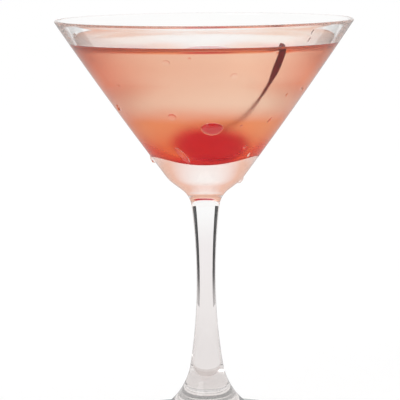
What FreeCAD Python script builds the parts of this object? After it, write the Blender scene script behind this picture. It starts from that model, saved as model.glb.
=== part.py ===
"""A mixed drink in a stemmed cocktail glass, with a cherry on its stalk sunk in it.

The glass is one piece: foot, drawn stem, a thick solid bowl base and a wide conical bowl.
The drink lies in the bowl in two layers, each a solid cut round the cherry and its stalk.
Units are millimetres, +Z is up, and the origin is the centre of the foot's resting plane.
"""

import FreeCAD
import Part
import Sketcher

import math
import os

Vec = FreeCAD.Vector
FIRST, LAST, CENTRE = 1, 2, 3      # a sketch element's points, as Sketcher numbers them
ORIGIN_POINT = (-1, 1)             # the sketch's own origin
H_AXIS, V_AXIS = -1, -2            # the sketch's own axes

DIMENSIONS = (
    # alias, value, what it is
    ("GlassHeight", 156.5, "resting plane to the top of the rim"),
    ("RimRadius", 57.0, "outside of the rim"),
    ("LipRadius", 0.6, "round of the rim, half the wall's thickness there"),
    ("BowlBaseRadius", 13.9, "where the lines of the bowl wall and the shoulder meet"),
    ("BowlBaseHeight", 94.8, "height of that corner"),
    ("WallRadius", 1500.0, "outward bow of the bowl wall's outside"),
    ("ShoulderRadius", 12.0, "round between the wall and the shoulder"),
    ("ShoulderSlope", 37.0, "shoulder's rise from the horizontal, in degrees"),
    ("NeckRadius", 9.5, "hollow round from the shoulder into the stem"),
    ("WaistRadius", 3.67, "stem at its thinnest"),
    ("WaistHeight", 56.0, "height of the stem's thinnest point"),
    ("UpperStemRadius", 248.0, "hollow curve of the stem above its waist"),
    ("LowerStemRadius", 205.0, "hollow curve of the stem below its waist"),
    ("TrumpetHeight", 23.0, "height where the stem starts to flare"),
    ("TrumpetRadius", 25.0, "hollow curve of the flare"),
    ("FootFillet", 12.0, "hollow round from the flare into the foot"),
    ("FootSlope", 10.0, "fall of the foot's top towards its edge, in degrees"),
    ("FootRadius", 37.5, "outside of the foot"),
    ("FootEdge", 1.1, "round of the foot's edge"),
    ("RestInner", 31.0, "inner radius of the flat ring that the glass rests on"),
    ("UnderHollow", 1.4, "rise of the hollow under the foot"),
    ("InnerBaseRadius", 19.0, "bowl's inside, where the wall's line meets the floor's height"),
    ("FloorHeight", 106.4, "lowest point of the bowl's inside"),
    ("FloorRadius", 20.0, "dish of the bowl's floor"),
    ("SwellRadius", 90.0, "long round from the floor into the inside wall, which thickens the wall"),
    ("LayerHeight", 125.5, "top of the lower layer of the drink"),
    ("DrinkHeight", 146.6, "surface of the drink"),
    ("CherryRadius", 10.0, "cherry at its widest"),
    ("CherrySide", 7.3, "round of the cherry's side"),
    ("CherryDrop", 8.0, "cherry's lowest point below its widest circle"),
    ("BrimRadius", 2.6, "round of the brim about the cherry's dimple"),
    ("DimpleRadius", 3.0, "hollow round of the cherry's dimple"),
    ("DimpleRise", 5.2, "dimple's bottom above the cherry's widest circle"),
    ("CherryX", 1.4, "cherry's centre, to the right of the glass's axis"),
    ("CherryY", 0.4, "cherry's centre, behind the axis"),
    ("CherryTilt", 28.0, "lean of the cherry's own axis, in degrees"),
    ("CherryTurn", -55.5, "bearing of that lean from the right, in degrees"),
    ("CherryGap", 0.35, "film of drink under the cherry"),
    ("StalkRadius", 0.55, "stalk along most of its length"),
    ("StalkRootRadius", 0.80, "stalk where it leaves the cherry"),
    ("StalkEndRadius", 1.42, "knob at the stalk's free end"),
    ("StalkRootDepth", 1.2, "depth of the stalk's root below the dimple's bottom"),
    ("StalkRise", 9.0, "how far the stalk heads straight out of the cherry"),
    ("StalkBendX", 8.4, "point that draws the stalk over the cherry's brim, to the right"),
    ("StalkBendY", -12.5, "that point, to the back"),
    ("StalkBendHeight", 114.9, "height of that point"),
    ("StalkTipX", 28.1, "free end of the stalk, to the right"),
    ("StalkTipY", -38.5, "free end of the stalk, to the back"),
    ("StalkTipOut", 2.3, "free end of the stalk above the drink's surface"),
    ("StalkFall", 18.8, "how far the stalk heads down from its free end"),
    ("StalkFallX", -4.0, "how far that run drifts to the right"),
    ("StalkFallY", 9.8, "how far that run drifts to the back"),
)

# (share of the stalk's length, alias of the radius, times that radius)
STALK_STATIONS = (
    (0.00, "StalkRootRadius", 0.95),
    (0.08, "StalkRootRadius", 1.00),
    (0.18, "StalkRadius", 1.06),
    (0.40, "StalkRadius", 0.95),
    (0.64, "StalkRadius", 0.95),
    (0.76, "StalkRadius", 1.15),
    (0.85, "StalkEndRadius", 0.85),
    (0.93, "StalkEndRadius", 1.00),
    (0.99, "StalkEndRadius", 0.88),
    (1.00, "StalkEndRadius", 0.62),
)


def make_sheet(doc):
    """The driving dimensions, one row each, as plain numbers with an alias."""
    sheet = doc.addObject("Spreadsheet::Sheet", "Dims")
    for row, (alias, value, note) in enumerate(DIMENSIONS, start=1):
        sheet.set(f"A{row}", note)
        sheet.set(f"B{row}", str(value))
        sheet.setAlias(f"B{row}", alias)
    doc.recompute()
    return sheet


# ---------------------------------------------------------------- plane geometry

def crossings(centre_a, radius_a, centre_b, radius_b):
    """Both points where two circles cross, the one with the larger height first."""
    gap = centre_b - centre_a
    apart = gap.Length
    along = (radius_a ** 2 - radius_b ** 2 + apart ** 2) / (2 * apart)
    aside = math.sqrt(radius_a ** 2 - along ** 2)
    unit = gap * (1 / apart)
    foot = centre_a + unit * along
    normal = Vec(-unit.y, unit.x, 0)
    return sorted((foot + normal * aside, foot - normal * aside), key=lambda point: -point.y)


def on_line(point, direction, centre, radius):
    """Both points of a line that lie on a circle, in order along the line's direction."""
    towards = centre - point
    along = towards.dot(direction)
    aside = (towards - direction * along).Length
    half = math.sqrt(radius ** 2 - aside ** 2)
    return point + direction * (along - half), point + direction * (along + half)


def polar(degrees):
    """Unit vector at an angle from the horizontal."""
    return Vec(math.cos(math.radians(degrees)), math.sin(math.radians(degrees)), 0)


def toward(start, end):
    """Unit vector from one point to another."""
    step = end - start
    return step * (1 / step.Length)


def inner_wall(sheet):
    """The bowl's inside wall: its point at the floor's height, its direction and its end at the lip."""
    base = Vec(sheet.InnerBaseRadius, sheet.FloorHeight, 0)
    lip = Vec(sheet.RimRadius - sheet.LipRadius, sheet.GlassHeight - sheet.LipRadius, 0)
    reach = lip - base
    turn = math.degrees(math.atan2(reach.y, reach.x))
    turn += math.degrees(math.asin(sheet.LipRadius / reach.Length))
    direction = polar(turn)
    end = base + direction * reach.dot(direction)
    return base, direction, end


def inner_curve(sheet):
    """The bowl's floor and the long round above it: both centres, and the round's two ends."""
    base, direction, _ = inner_wall(sheet)
    inward = Vec(-direction.y, direction.x, 0)
    floor_centre = Vec(0, sheet.FloorHeight + sheet.FloorRadius, 0)
    reach = sheet.SwellRadius - sheet.FloorRadius
    _, swell_centre = on_line(base + inward * sheet.SwellRadius, direction, floor_centre, reach)
    on_wall = swell_centre - inward * sheet.SwellRadius
    on_floor = floor_centre + toward(swell_centre, floor_centre) * sheet.FloorRadius
    return floor_centre, swell_centre, on_wall, on_floor


# ---------------------------------------------------------------- sketches

class Outline:
    """A closed sketch outline, drawn as a chain and fixed by constraints bound to the sheet."""

    def __init__(self, body, name):
        plane = next(f for f in body.Origin.OriginFeatures if f.Role == "XZ_Plane")
        self.sketch = body.newObject("Sketcher::SketchObject", name)
        self.sketch.AttachmentSupport = [(plane, "")]
        self.sketch.MapMode = "FlatFace"
        self.sheet = self.sketch.Document.getObject("Dims")
        self.chain = []    # (element, number of its first point, number of its last point)

    def line(self, start, end):
        """Adds a straight run to the chain and returns its number."""
        index = self.sketch.addGeometry(Part.LineSegment(start, end), False)
        self.chain.append((index, FIRST, LAST))
        return index

    def arc(self, centre, start, end):
        """Adds the shorter arc from start to end to the chain and returns its number."""
        anticlockwise = (start - centre).cross(end - centre).z > 0
        first, last = (start, end) if anticlockwise else (end, start)
        angles = [math.atan2(p.y - centre.y, p.x - centre.x) for p in (first, last)]
        circle = Part.Circle(centre, Vec(0, 0, 1), (start - centre).Length)
        index = self.sketch.addGeometry(Part.ArcOfCircle(circle, *angles), False)
        self.chain.append((index, FIRST, LAST) if anticlockwise else (index, LAST, FIRST))
        return index

    def guide_point(self, place):
        """Adds a construction point, where two outlines would meet."""
        return self.sketch.addGeometry(Part.Point(place), True)

    def guide_circle(self, centre, radius):
        """Adds a construction circle that an outline touches."""
        return self.sketch.addGeometry(Part.Circle(centre, Vec(0, 0, 1), radius), True)

    def rule(self, *facts):
        """Adds a constraint that has no size."""
        return self.sketch.addConstraint(Sketcher.Constraint(*facts))

    def size(self, name, formula, value, *facts):
        """Adds a constraint whose size is a formula of the sheet's cells."""
        index = self.sketch.addConstraint(Sketcher.Constraint(*facts, value))
        self.sketch.renameConstraint(index, name)
        self.sketch.setExpression(f"Constraints.{name}", formula)

    def radius(self, element, alias):
        """An arc's radius, from one cell."""
        self.size(f"{alias}Size", f"Dims.{alias}", self.sheet.get(alias), "Radius", element)

    def place(self, element, point, name, across=None, up=None):
        """Where a point lies from the origin: each of across and up is (formula, value)."""
        if across:
            self.size(f"{name}Across", across[0], across[1], "DistanceX", *ORIGIN_POINT,
                      element, point)
        if up:
            self.size(f"{name}Up", up[0], up[1], "DistanceY", *ORIGIN_POINT, element, point)

    def cell(self, alias):
        """The formula and value of one cell."""
        return f"Dims.{alias}", self.sheet.get(alias)

    def close(self, sharp):
        """Joins the chain end to end: smoothly, except after the elements in sharp."""
        following = self.chain[1:] + self.chain[:1]
        for (element, _, last), (other, first, _) in zip(self.chain, following):
            kind = "Coincident" if element in sharp else "Tangent"
            self.rule(kind, element, last, other, first)

    def first_point(self, element):
        """The number of an element's first point along the chain."""
        return next(first for index, first, _ in self.chain if index == element)

    def last_point(self, element):
        """The number of an element's last point along the chain."""
        return next(last for index, _, last in self.chain if index == element)

    def fix_inside(self, wall, swell, floor, lip=None):
        """Fixes the bowl's inside: its straight wall, its long round and its dished floor.

        A wall or a floor that the outline lacks is None, and a construction curve takes its place.
        """
        base, _, lip_in = inner_wall(self.sheet)
        floor_centre, _, _, _ = inner_curve(self.sheet)
        if wall is None:
            wall = self.sketch.addGeometry(Part.LineSegment(base, lip_in), True)
            self.place(wall, FIRST, "WallLow", up=self.cell("FloorHeight"))
            self.place(wall, LAST, "WallHigh", up=self.cell("GlassHeight"))
            self.rule("Tangent", swell, wall)
        self.rule("PointOnObject", self.floor_level(base), FIRST, wall)
        if lip is None:
            self.rule("Tangent", wall, self.lip_guide())
        if floor is None:
            floor = self.guide_circle(floor_centre, self.sheet.FloorRadius)
            self.rule("Tangent", swell, floor)
            self.place(floor, CENTRE, "Dish",
                       up=("Dims.FloorHeight + Dims.FloorRadius", floor_centre.y))
        self.rule("PointOnObject", floor, CENTRE, V_AXIS)
        self.radius(floor, "FloorRadius")
        self.radius(swell, "SwellRadius")

    def floor_level(self, base):
        """A construction point where the inside wall's line meets the floor's height."""
        guide = self.guide_point(base)
        self.place(guide, FIRST, "WallBase", self.cell("InnerBaseRadius"), self.cell("FloorHeight"))
        return guide

    def lip_guide(self):
        """The rim's round as a construction circle, which the inside wall touches."""
        sheet = self.sheet
        centre = Vec(sheet.RimRadius - sheet.LipRadius, sheet.GlassHeight - sheet.LipRadius, 0)
        lip = self.guide_circle(centre, sheet.LipRadius)
        self.fix_lip(lip, centre)
        return lip

    def fix_lip(self, lip, centre):
        """Sets the rim round's radius and centre."""
        self.radius(lip, "LipRadius")
        self.place(lip, CENTRE, "Lip", ("Dims.RimRadius - Dims.LipRadius", centre.x),
                   ("Dims.GlassHeight - Dims.LipRadius", centre.y))

    def revolve(self, body, name):
        """Turns the outline a full circle about the sketch's vertical axis."""
        turned = body.newObject("PartDesign::Revolution", name)
        turned.Profile = self.sketch
        turned.ReferenceAxis = (self.sketch, ["V_Axis"])
        turned.Angle = 360.0
        self.sketch.Visibility = False
        return turned


# ---------------------------------------------------------------- the glass

def make_glass(doc, sheet):
    """Foot, stem and bowl in one piece, turned from one outline of lines and tangent arcs."""
    body = doc.addObject("PartDesign::Body", "Glass")
    body.Label = "glass"
    outline = Outline(body, "GlassOutline")

    # foot: hollow underside, flat resting ring, round edge, sloping top
    under = Vec(0, sheet.UnderHollow, 0)
    ring = Vec(sheet.RestInner, 0, 0)
    under_radius = (sheet.RestInner ** 2 + sheet.UnderHollow ** 2) / (2 * sheet.UnderHollow)
    edge_centre = Vec(sheet.FootRadius - sheet.FootEdge, sheet.FootEdge, 0)
    edge_low = Vec(edge_centre.x, 0, 0)
    foot_up = polar(90 - sheet.FootSlope)
    foot_in = polar(180 - sheet.FootSlope)
    edge_high = edge_centre + foot_up * sheet.FootEdge

    # stem: two hollow curves that meet at the waist, then the flare into the foot
    waist = Vec(sheet.WaistRadius, sheet.WaistHeight, 0)
    lower_centre = waist + Vec(sheet.LowerStemRadius, 0, 0)
    upper_centre = waist + Vec(sheet.UpperStemRadius, 0, 0)
    fall = sheet.WaistHeight - sheet.TrumpetHeight
    flare_angle = math.degrees(math.asin(fall / sheet.LowerStemRadius))
    flare_top = lower_centre - polar(flare_angle) * sheet.LowerStemRadius
    flare_centre = flare_top + polar(flare_angle) * sheet.TrumpetRadius
    root_centre, _ = on_line(edge_high + foot_up * sheet.FootFillet, foot_in * -1, flare_centre,
                             sheet.TrumpetRadius - sheet.FootFillet)
    root_low = root_centre - foot_up * sheet.FootFillet
    root_high = flare_centre + toward(flare_centre, root_centre) * sheet.TrumpetRadius

    # bowl's outside: neck, shoulder, wall, lip
    corner = Vec(sheet.BowlBaseRadius, sheet.BowlBaseHeight, 0)
    slope = polar(sheet.ShoulderSlope)
    below = Vec(slope.y, -slope.x, 0)
    neck_centre, _ = on_line(corner + below * sheet.NeckRadius, slope, upper_centre,
                             sheet.UpperStemRadius - sheet.NeckRadius)
    neck_low = upper_centre + toward(upper_centre, neck_centre) * sheet.UpperStemRadius
    neck_high = neck_centre - below * sheet.NeckRadius
    lip_centre = Vec(sheet.RimRadius - sheet.LipRadius, sheet.GlassHeight - sheet.LipRadius, 0)
    wall_centre, _ = crossings(corner, sheet.WallRadius, lip_centre,
                               sheet.WallRadius - sheet.LipRadius)
    _, shoulder_centre = on_line(corner - below * sheet.ShoulderRadius, slope, wall_centre,
                                 sheet.WallRadius - sheet.ShoulderRadius)
    shoulder_low = shoulder_centre + below * sheet.ShoulderRadius
    shoulder_high = wall_centre + toward(wall_centre, shoulder_centre) * sheet.WallRadius
    lip_out = wall_centre + toward(wall_centre, lip_centre) * sheet.WallRadius

    # bowl's inside
    _, _, lip_in = inner_wall(sheet)
    floor_centre, swell_centre, on_wall, on_floor = inner_curve(sheet)
    floor_low = Vec(0, sheet.FloorHeight, 0)

    axis = outline.line(floor_low, under)
    hollow = outline.arc(Vec(0, under.y - under_radius, 0), under, ring)
    rest = outline.line(ring, edge_low)
    edge = outline.arc(edge_centre, edge_low, edge_high)
    foot = outline.line(edge_high, root_low)
    fillet = outline.arc(root_centre, root_low, root_high)
    flare = outline.arc(flare_centre, root_high, flare_top)
    lower = outline.arc(lower_centre, flare_top, waist)
    upper = outline.arc(upper_centre, waist, neck_low)
    neck = outline.arc(neck_centre, neck_low, neck_high)
    shoulder = outline.line(neck_high, shoulder_low)
    turn = outline.arc(shoulder_centre, shoulder_low, shoulder_high)
    wall = outline.arc(wall_centre, shoulder_high, lip_out)
    lip = outline.arc(lip_centre, lip_out, lip_in)
    inside = outline.line(lip_in, on_wall)
    swell = outline.arc(swell_centre, on_wall, on_floor)
    floor = outline.arc(floor_centre, on_floor, floor_low)
    outline.close(sharp=(axis, hollow, floor))

    outline.rule("PointOnObject", axis, FIRST, V_AXIS)
    outline.rule("PointOnObject", axis, LAST, V_AXIS)
    outline.place(axis, FIRST, "Floor", up=outline.cell("FloorHeight"))
    outline.place(axis, LAST, "Under", up=outline.cell("UnderHollow"))
    outline.rule("PointOnObject", hollow, CENTRE, V_AXIS)
    outline.place(rest, FIRST, "Ring", across=outline.cell("RestInner"))
    outline.rule("PointOnObject", rest, FIRST, H_AXIS)
    outline.rule("PointOnObject", rest, LAST, H_AXIS)
    outline.radius(edge, "FootEdge")
    outline.place(edge, CENTRE, "Edge", across=("Dims.FootRadius - Dims.FootEdge", edge_centre.x))
    outline.size("FootAngle", "180 deg - Dims.FootSlope * 1 deg",
                 math.radians(180 - sheet.FootSlope), "Angle", foot)
    outline.radius(fillet, "FootFillet")
    outline.radius(flare, "TrumpetRadius")
    outline.place(lower, outline.first_point(lower), "Flare", up=outline.cell("TrumpetHeight"))
    outline.radius(lower, "LowerStemRadius")
    outline.place(upper, outline.first_point(upper), "Waist", outline.cell("WaistRadius"),
                  outline.cell("WaistHeight"))
    outline.place(lower, CENTRE, "LowerCentre", up=outline.cell("WaistHeight"))
    outline.radius(upper, "UpperStemRadius")
    outline.radius(neck, "NeckRadius")
    outline.size("ShoulderAngle", "Dims.ShoulderSlope * 1 deg",
                 math.radians(sheet.ShoulderSlope), "Angle", shoulder)
    outline.radius(turn, "ShoulderRadius")
    outline.radius(wall, "WallRadius")
    meeting = outline.guide_point(corner)
    outline.place(meeting, FIRST, "BowlBase", outline.cell("BowlBaseRadius"),
                  outline.cell("BowlBaseHeight"))
    outline.rule("PointOnObject", meeting, FIRST, shoulder)
    outline.rule("PointOnObject", meeting, FIRST, wall)
    outline.fix_lip(lip, lip_centre)
    outline.fix_inside(inside, swell, floor, lip)

    outline.revolve(body, "GlassTurned")
    return body


# ---------------------------------------------------------------- the drink

def swell_at(sheet, height):
    """The point of the bowl's long inside round at a height."""
    _, centre, _, _ = inner_curve(sheet)
    across = math.sqrt(sheet.SwellRadius ** 2 - (height - centre.y) ** 2)
    return Vec(centre.x + across, height, 0)


def make_upper_layer(doc, sheet):
    """The drink from the top of the lower layer to its surface."""
    body = doc.addObject("PartDesign::Body", "UpperLayer")
    outline = Outline(body, "UpperOutline")
    base, direction, _ = inner_wall(sheet)
    _, swell_centre, on_wall, _ = inner_curve(sheet)
    low = Vec(0, sheet.LayerHeight, 0)
    high = Vec(0, sheet.DrinkHeight, 0)
    edge_high = base + direction * ((high.y - base.y) / direction.y)
    edge_low = swell_at(sheet, low.y)

    axis = outline.line(low, high)
    surface = outline.line(high, edge_high)
    wall = outline.line(edge_high, on_wall)
    swell = outline.arc(swell_centre, on_wall, edge_low)
    ground = outline.line(edge_low, low)
    outline.close(sharp=(axis, surface, swell, ground))
    outline.rule("PointOnObject", axis, FIRST, V_AXIS)
    outline.rule("PointOnObject", axis, LAST, V_AXIS)
    outline.rule("Horizontal", surface)
    outline.rule("Horizontal", ground)
    outline.place(axis, FIRST, "Low", up=outline.cell("LayerHeight"))
    outline.place(axis, LAST, "High", up=outline.cell("DrinkHeight"))
    outline.fix_inside(wall, swell, None)
    outline.revolve(body, "UpperTurned")
    return body


def make_lower_layer(doc, sheet):
    """The drink from the bowl's floor to the top of the lower layer."""
    body = doc.addObject("PartDesign::Body", "LowerLayer")
    outline = Outline(body, "LowerOutline")
    floor_centre, swell_centre, _, on_floor = inner_curve(sheet)
    low = Vec(0, sheet.FloorHeight, 0)
    high = Vec(0, sheet.LayerHeight, 0)
    edge_high = swell_at(sheet, high.y)

    axis = outline.line(low, high)
    top = outline.line(high, edge_high)
    swell = outline.arc(swell_centre, edge_high, on_floor)
    floor = outline.arc(floor_centre, on_floor, low)
    outline.close(sharp=(axis, top, floor))
    outline.rule("PointOnObject", axis, FIRST, V_AXIS)
    outline.rule("PointOnObject", axis, LAST, V_AXIS)
    outline.rule("Horizontal", top)
    outline.place(axis, FIRST, "Low", up=outline.cell("FloorHeight"))
    outline.place(axis, LAST, "High", up=outline.cell("LayerHeight"))
    outline.fix_inside(None, swell, floor)
    outline.revolve(body, "LowerTurned")
    return body


# ---------------------------------------------------------------- the cherry

def cherry_bottom_radius(sheet):
    """Radius of the cherry's underside, which runs smoothly into the round of its side."""
    across = sheet.CherryRadius - sheet.CherrySide
    square = across ** 2 + sheet.CherryDrop ** 2 - sheet.CherrySide ** 2
    return square / (2 * (sheet.CherryDrop - sheet.CherrySide))


def cherry_lean(sheet):
    """Unit vector along the cherry's own axis."""
    flat = polar(sheet.CherryTurn)
    tilt = polar(90 - sheet.CherryTilt)
    return Vec(flat.x * tilt.x, flat.y * tilt.x, tilt.y)


def cherry_centre(sheet):
    """Centre of the cherry's widest circle, with its underside a film above the bowl's floor."""
    bottom = cherry_bottom_radius(sheet)
    to_bottom_centre = cherry_lean(sheet) * (bottom - sheet.CherryDrop)
    across = math.hypot(sheet.CherryX + to_bottom_centre.x, sheet.CherryY + to_bottom_centre.y)
    reach = sheet.FloorRadius - bottom - sheet.CherryGap
    floor_centre = sheet.FloorHeight + sheet.FloorRadius
    height = floor_centre - math.sqrt(reach ** 2 - across ** 2) - to_bottom_centre.z
    return Vec(sheet.CherryX, sheet.CherryY, height)


def stalk_path(sheet):
    """The stalk's centreline, a smooth curve from its root in the cherry to its free end."""
    leaving = cherry_lean(sheet)
    root = cherry_centre(sheet) + leaving * (sheet.DimpleRise - sheet.StalkRootDepth)
    tip = Vec(sheet.StalkTipX, sheet.StalkTipY, sheet.DrinkHeight + sheet.StalkTipOut)
    below_tip = tip + Vec(sheet.StalkFallX, sheet.StalkFallY, -sheet.StalkFall)
    curve = Part.BezierCurve()
    over_brim = Vec(sheet.StalkBendX, sheet.StalkBendY, sheet.StalkBendHeight)
    curve.setPoles([root, root + leaving * sheet.StalkRise, over_brim, below_tip, tip])
    return curve


def make_cherry_body(doc, sheet):
    """A cherry wider than it is tall, with a soft-brimmed dimple, leaning the way its stalk goes."""
    body = doc.addObject("PartDesign::Body", "CherryBody")
    outline = Outline(body, "CherryOutline")
    bottom_radius = cherry_bottom_radius(sheet)
    bottom = Vec(0, -sheet.CherryDrop, 0)
    bottom_centre = bottom + Vec(0, bottom_radius, 0)
    side_centre = Vec(sheet.CherryRadius - sheet.CherrySide, 0, 0)
    dimple_low = Vec(0, sheet.DimpleRise, 0)
    dimple_centre = dimple_low + Vec(0, sheet.DimpleRadius, 0)
    brims = crossings(side_centre, sheet.CherrySide - sheet.BrimRadius, dimple_centre,
                      sheet.DimpleRadius + sheet.BrimRadius)
    brim_centre = max(brims, key=lambda point: point.x)
    side_low = bottom_centre + toward(bottom_centre, side_centre) * bottom_radius
    side_high = side_centre + toward(side_centre, brim_centre) * sheet.CherrySide
    brim_in = dimple_centre + toward(dimple_centre, brim_centre) * sheet.DimpleRadius

    axis = outline.line(dimple_low, bottom)
    under = outline.arc(bottom_centre, bottom, side_low)
    side = outline.arc(side_centre, side_low, side_high)
    brim = outline.arc(brim_centre, side_high, brim_in)
    dimple = outline.arc(dimple_centre, brim_in, dimple_low)
    outline.close(sharp=(axis, dimple))
    outline.rule("PointOnObject", axis, FIRST, V_AXIS)
    outline.rule("PointOnObject", axis, LAST, V_AXIS)
    outline.rule("PointOnObject", under, CENTRE, V_AXIS)
    outline.rule("PointOnObject", side, CENTRE, H_AXIS)
    outline.rule("PointOnObject", dimple, CENTRE, V_AXIS)
    outline.place(axis, FIRST, "Dimple", up=outline.cell("DimpleRise"))
    outline.place(axis, LAST, "Bottom", up=("-Dims.CherryDrop", bottom.y))
    outline.place(side, CENTRE, "Side",
                  across=("Dims.CherryRadius - Dims.CherrySide", side_centre.x))
    outline.radius(side, "CherrySide")
    outline.radius(brim, "BrimRadius")
    outline.radius(dimple, "DimpleRadius")
    outline.revolve(body, "CherryTurned")

    lean = FreeCAD.Rotation(Vec(0, 0, 1), cherry_lean(sheet))
    body.Placement = FreeCAD.Placement(cherry_centre(sheet), lean)
    return body


def make_stalk(doc, sheet):
    """The stalk: rings of different sizes along its path, lofted into one solid."""
    path = stalk_path(sheet)
    rings = []
    for number, (share, alias, times) in enumerate(STALK_STATIONS, start=1):
        at = path.parameterAtDistance(share * path.length())
        ring = doc.addObject("Part::Circle", f"StalkRing{number}")
        ring.setExpression("Radius", f"Dims.{alias} * {times}")
        turn = FreeCAD.Rotation(Vec(0, 0, 1), path.tangent(at)[0])
        ring.Placement = FreeCAD.Placement(path.value(at), turn)
        rings.append(ring)
    stalk = doc.addObject("Part::Loft", "Stalk")
    stalk.Label = "cherry_stem"
    stalk.Sections = rings
    stalk.Solid = True
    stalk.Ruled = False
    return stalk


def cut_round(doc, label, body, tools):
    """The body less what is sunk in it."""
    tool = tools[0]
    if len(tools) > 1:
        tool = doc.addObject("Part::MultiFuse", f"{body.Name}Sunk")
        tool.Shapes = tools
    cut = doc.addObject("Part::Cut", f"{body.Name}Cut")
    cut.Label = label
    cut.Base = body
    cut.Tool = tool
    return cut


# ---------------------------------------------------------------- checks and files

def check_document(doc):
    """Stops if any object of the document failed."""
    for item in doc.Objects:
        faults = [word for word in item.State if word in ("Invalid", "Error")]
        if faults:
            raise RuntimeError(f"{item.Name} ({item.Label}) is {faults}")
        if item.TypeId == "Sketcher::SketchObject" and item.solve() != 0:
            raise RuntimeError(f"{item.Name} does not solve")


def write_parts(nodes):
    """Checks each node's shape and writes it to parts/LABEL.step."""
    for node in nodes:
        shape = node.Shape
        if shape.isNull() or not shape.isValid() or not shape.Solids or shape.Volume <= 0:
            raise RuntimeError(f"{node.Label} has no valid solid")
    os.makedirs("parts", exist_ok=True)
    for node in nodes:
        node.Shape.exportStep(f"parts/{node.Label}.step")
        box = node.Shape.BoundBox
        print(f"{node.Label}: {len(node.Shape.Solids)} solid, {node.Shape.Volume / 1000:.2f} cm3,"
              f" z {box.ZMin:.2f} to {box.ZMax:.2f}, x {box.XMin:.2f} to {box.XMax:.2f}")


def main():
    """Builds the document and writes every node."""
    doc = FreeCAD.newDocument("CocktailInGlass")
    sheet = make_sheet(doc)
    glass = make_glass(doc, sheet)
    upper_body = make_upper_layer(doc, sheet)
    lower_body = make_lower_layer(doc, sheet)
    cherry_body = make_cherry_body(doc, sheet)
    stalk = make_stalk(doc, sheet)
    doc.recompute()

    drink_upper = cut_round(doc, "drink_upper", upper_body, [stalk])
    drink_lower = cut_round(doc, "drink_lower", lower_body, [cherry_body, stalk])
    cherry = cut_round(doc, "cherry", cherry_body, [stalk])
    doc.recompute()

    check_document(doc)
    write_parts([glass, drink_upper, drink_lower, cherry, stalk])


main()
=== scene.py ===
"""A cloudy peach cocktail in a stemmed glass, with a cherry sunk in it by its stalk.

Sizes in the classes are millimetres and meshes are metres. +Z is up, and the origin is the
centre of the circle that the foot rests on, as in the solid model.
"""

import logging
import math
from dataclasses import dataclass, field
from enum import Enum

import bpy
import numpy as np
import numpy.typing as npt
from mathutils import Euler, Matrix

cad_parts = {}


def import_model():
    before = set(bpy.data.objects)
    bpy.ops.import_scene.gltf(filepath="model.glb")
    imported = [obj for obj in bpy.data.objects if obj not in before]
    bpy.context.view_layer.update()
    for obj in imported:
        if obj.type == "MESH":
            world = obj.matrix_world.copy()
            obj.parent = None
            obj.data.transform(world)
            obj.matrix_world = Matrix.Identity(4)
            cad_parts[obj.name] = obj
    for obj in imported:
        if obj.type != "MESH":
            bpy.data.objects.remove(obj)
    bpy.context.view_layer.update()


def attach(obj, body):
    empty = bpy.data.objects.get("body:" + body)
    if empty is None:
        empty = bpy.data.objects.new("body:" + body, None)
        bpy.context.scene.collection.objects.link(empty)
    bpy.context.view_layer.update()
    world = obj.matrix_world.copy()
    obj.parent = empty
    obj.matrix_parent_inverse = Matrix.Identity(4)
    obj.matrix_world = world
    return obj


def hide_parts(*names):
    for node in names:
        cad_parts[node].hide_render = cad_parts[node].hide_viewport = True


Array = npt.NDArray[np.float64]
Colour = tuple[float, float, float]

LOG = logging.getLogger("cocktail")
MM = 0.001
BOUNCES = 80
RELIEF_DETAIL = 3.0
RELIEF_ROUGHNESS = 0.55
RELIEF_MASK = (0.45, 0.7)
GLASS_IOR = 1.52
DRINK_IOR = 1.34
WATER_IOR = 1.33


# ------------------------------------------------------------------ plane geometry

def unit(vector: Array) -> Array:
    """The vector at length one."""
    return vector / np.linalg.norm(vector)


def polar(degrees: float) -> Array:
    """Unit vector at an angle from the horizontal, in the plane of radius and height."""
    angle = math.radians(degrees)
    return np.array([math.cos(angle), math.sin(angle)])


def crossings(centre_a: Array, radius_a: float, centre_b: Array,
              radius_b: float) -> list[Array]:
    """Where two circles cross: along the line of centres, then square to it either way.

    Args:
        centre_a: Centre of the first circle.
        radius_a: Its radius.
        centre_b: Centre of the second circle.
        radius_b: Its radius.

    Returns:
        Both crossing points, the higher one first.
    """
    gap = centre_b - centre_a
    apart = float(np.linalg.norm(gap))
    along = (radius_a ** 2 - radius_b ** 2 + apart ** 2) / (2 * apart)
    aside = math.sqrt(radius_a ** 2 - along ** 2)
    foot = centre_a + unit(gap) * along
    normal = np.array([-gap[1], gap[0]]) / apart
    return sorted((foot + normal * aside, foot - normal * aside), key=lambda point: -point[1])


def on_line(point: Array, direction: Array, centre: Array,
            radius: float) -> tuple[Array, Array]:
    """Where a line crosses a circle: the foot of the perpendicular, plus or minus a half chord.

    Args:
        point: A point of the line.
        direction: The line's unit vector.
        centre: Centre of the circle.
        radius: Its radius.

    Returns:
        Both crossing points, in order along the line.
    """
    towards = centre - point
    along = float(towards @ direction)
    aside = float(np.linalg.norm(towards - direction * along))
    half = math.sqrt(radius ** 2 - aside ** 2)
    return point + direction * (along - half), point + direction * (along + half)


def arc(centre: Array, start: Array, end: Array, step: float) -> Array:
    """The shorter arc between two points: centre + radius (cos a, sin a), a in even steps.

    Args:
        centre: Centre of the arc.
        start: First point.
        end: Last point.
        step: Longest distance between neighbours.

    Returns:
        Points from start to end, both included.
    """
    first, last = (math.atan2(*(p - centre)[::-1]) for p in (start, end))
    sweep = (last - first + math.pi) % (2 * math.pi) - math.pi
    radius = float(np.linalg.norm(start - centre))
    count = max(4, math.ceil(abs(sweep) * radius / step))
    angles = first + sweep * np.linspace(0, 1, count + 1)
    return centre + radius * np.column_stack((np.cos(angles), np.sin(angles)))


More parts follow.
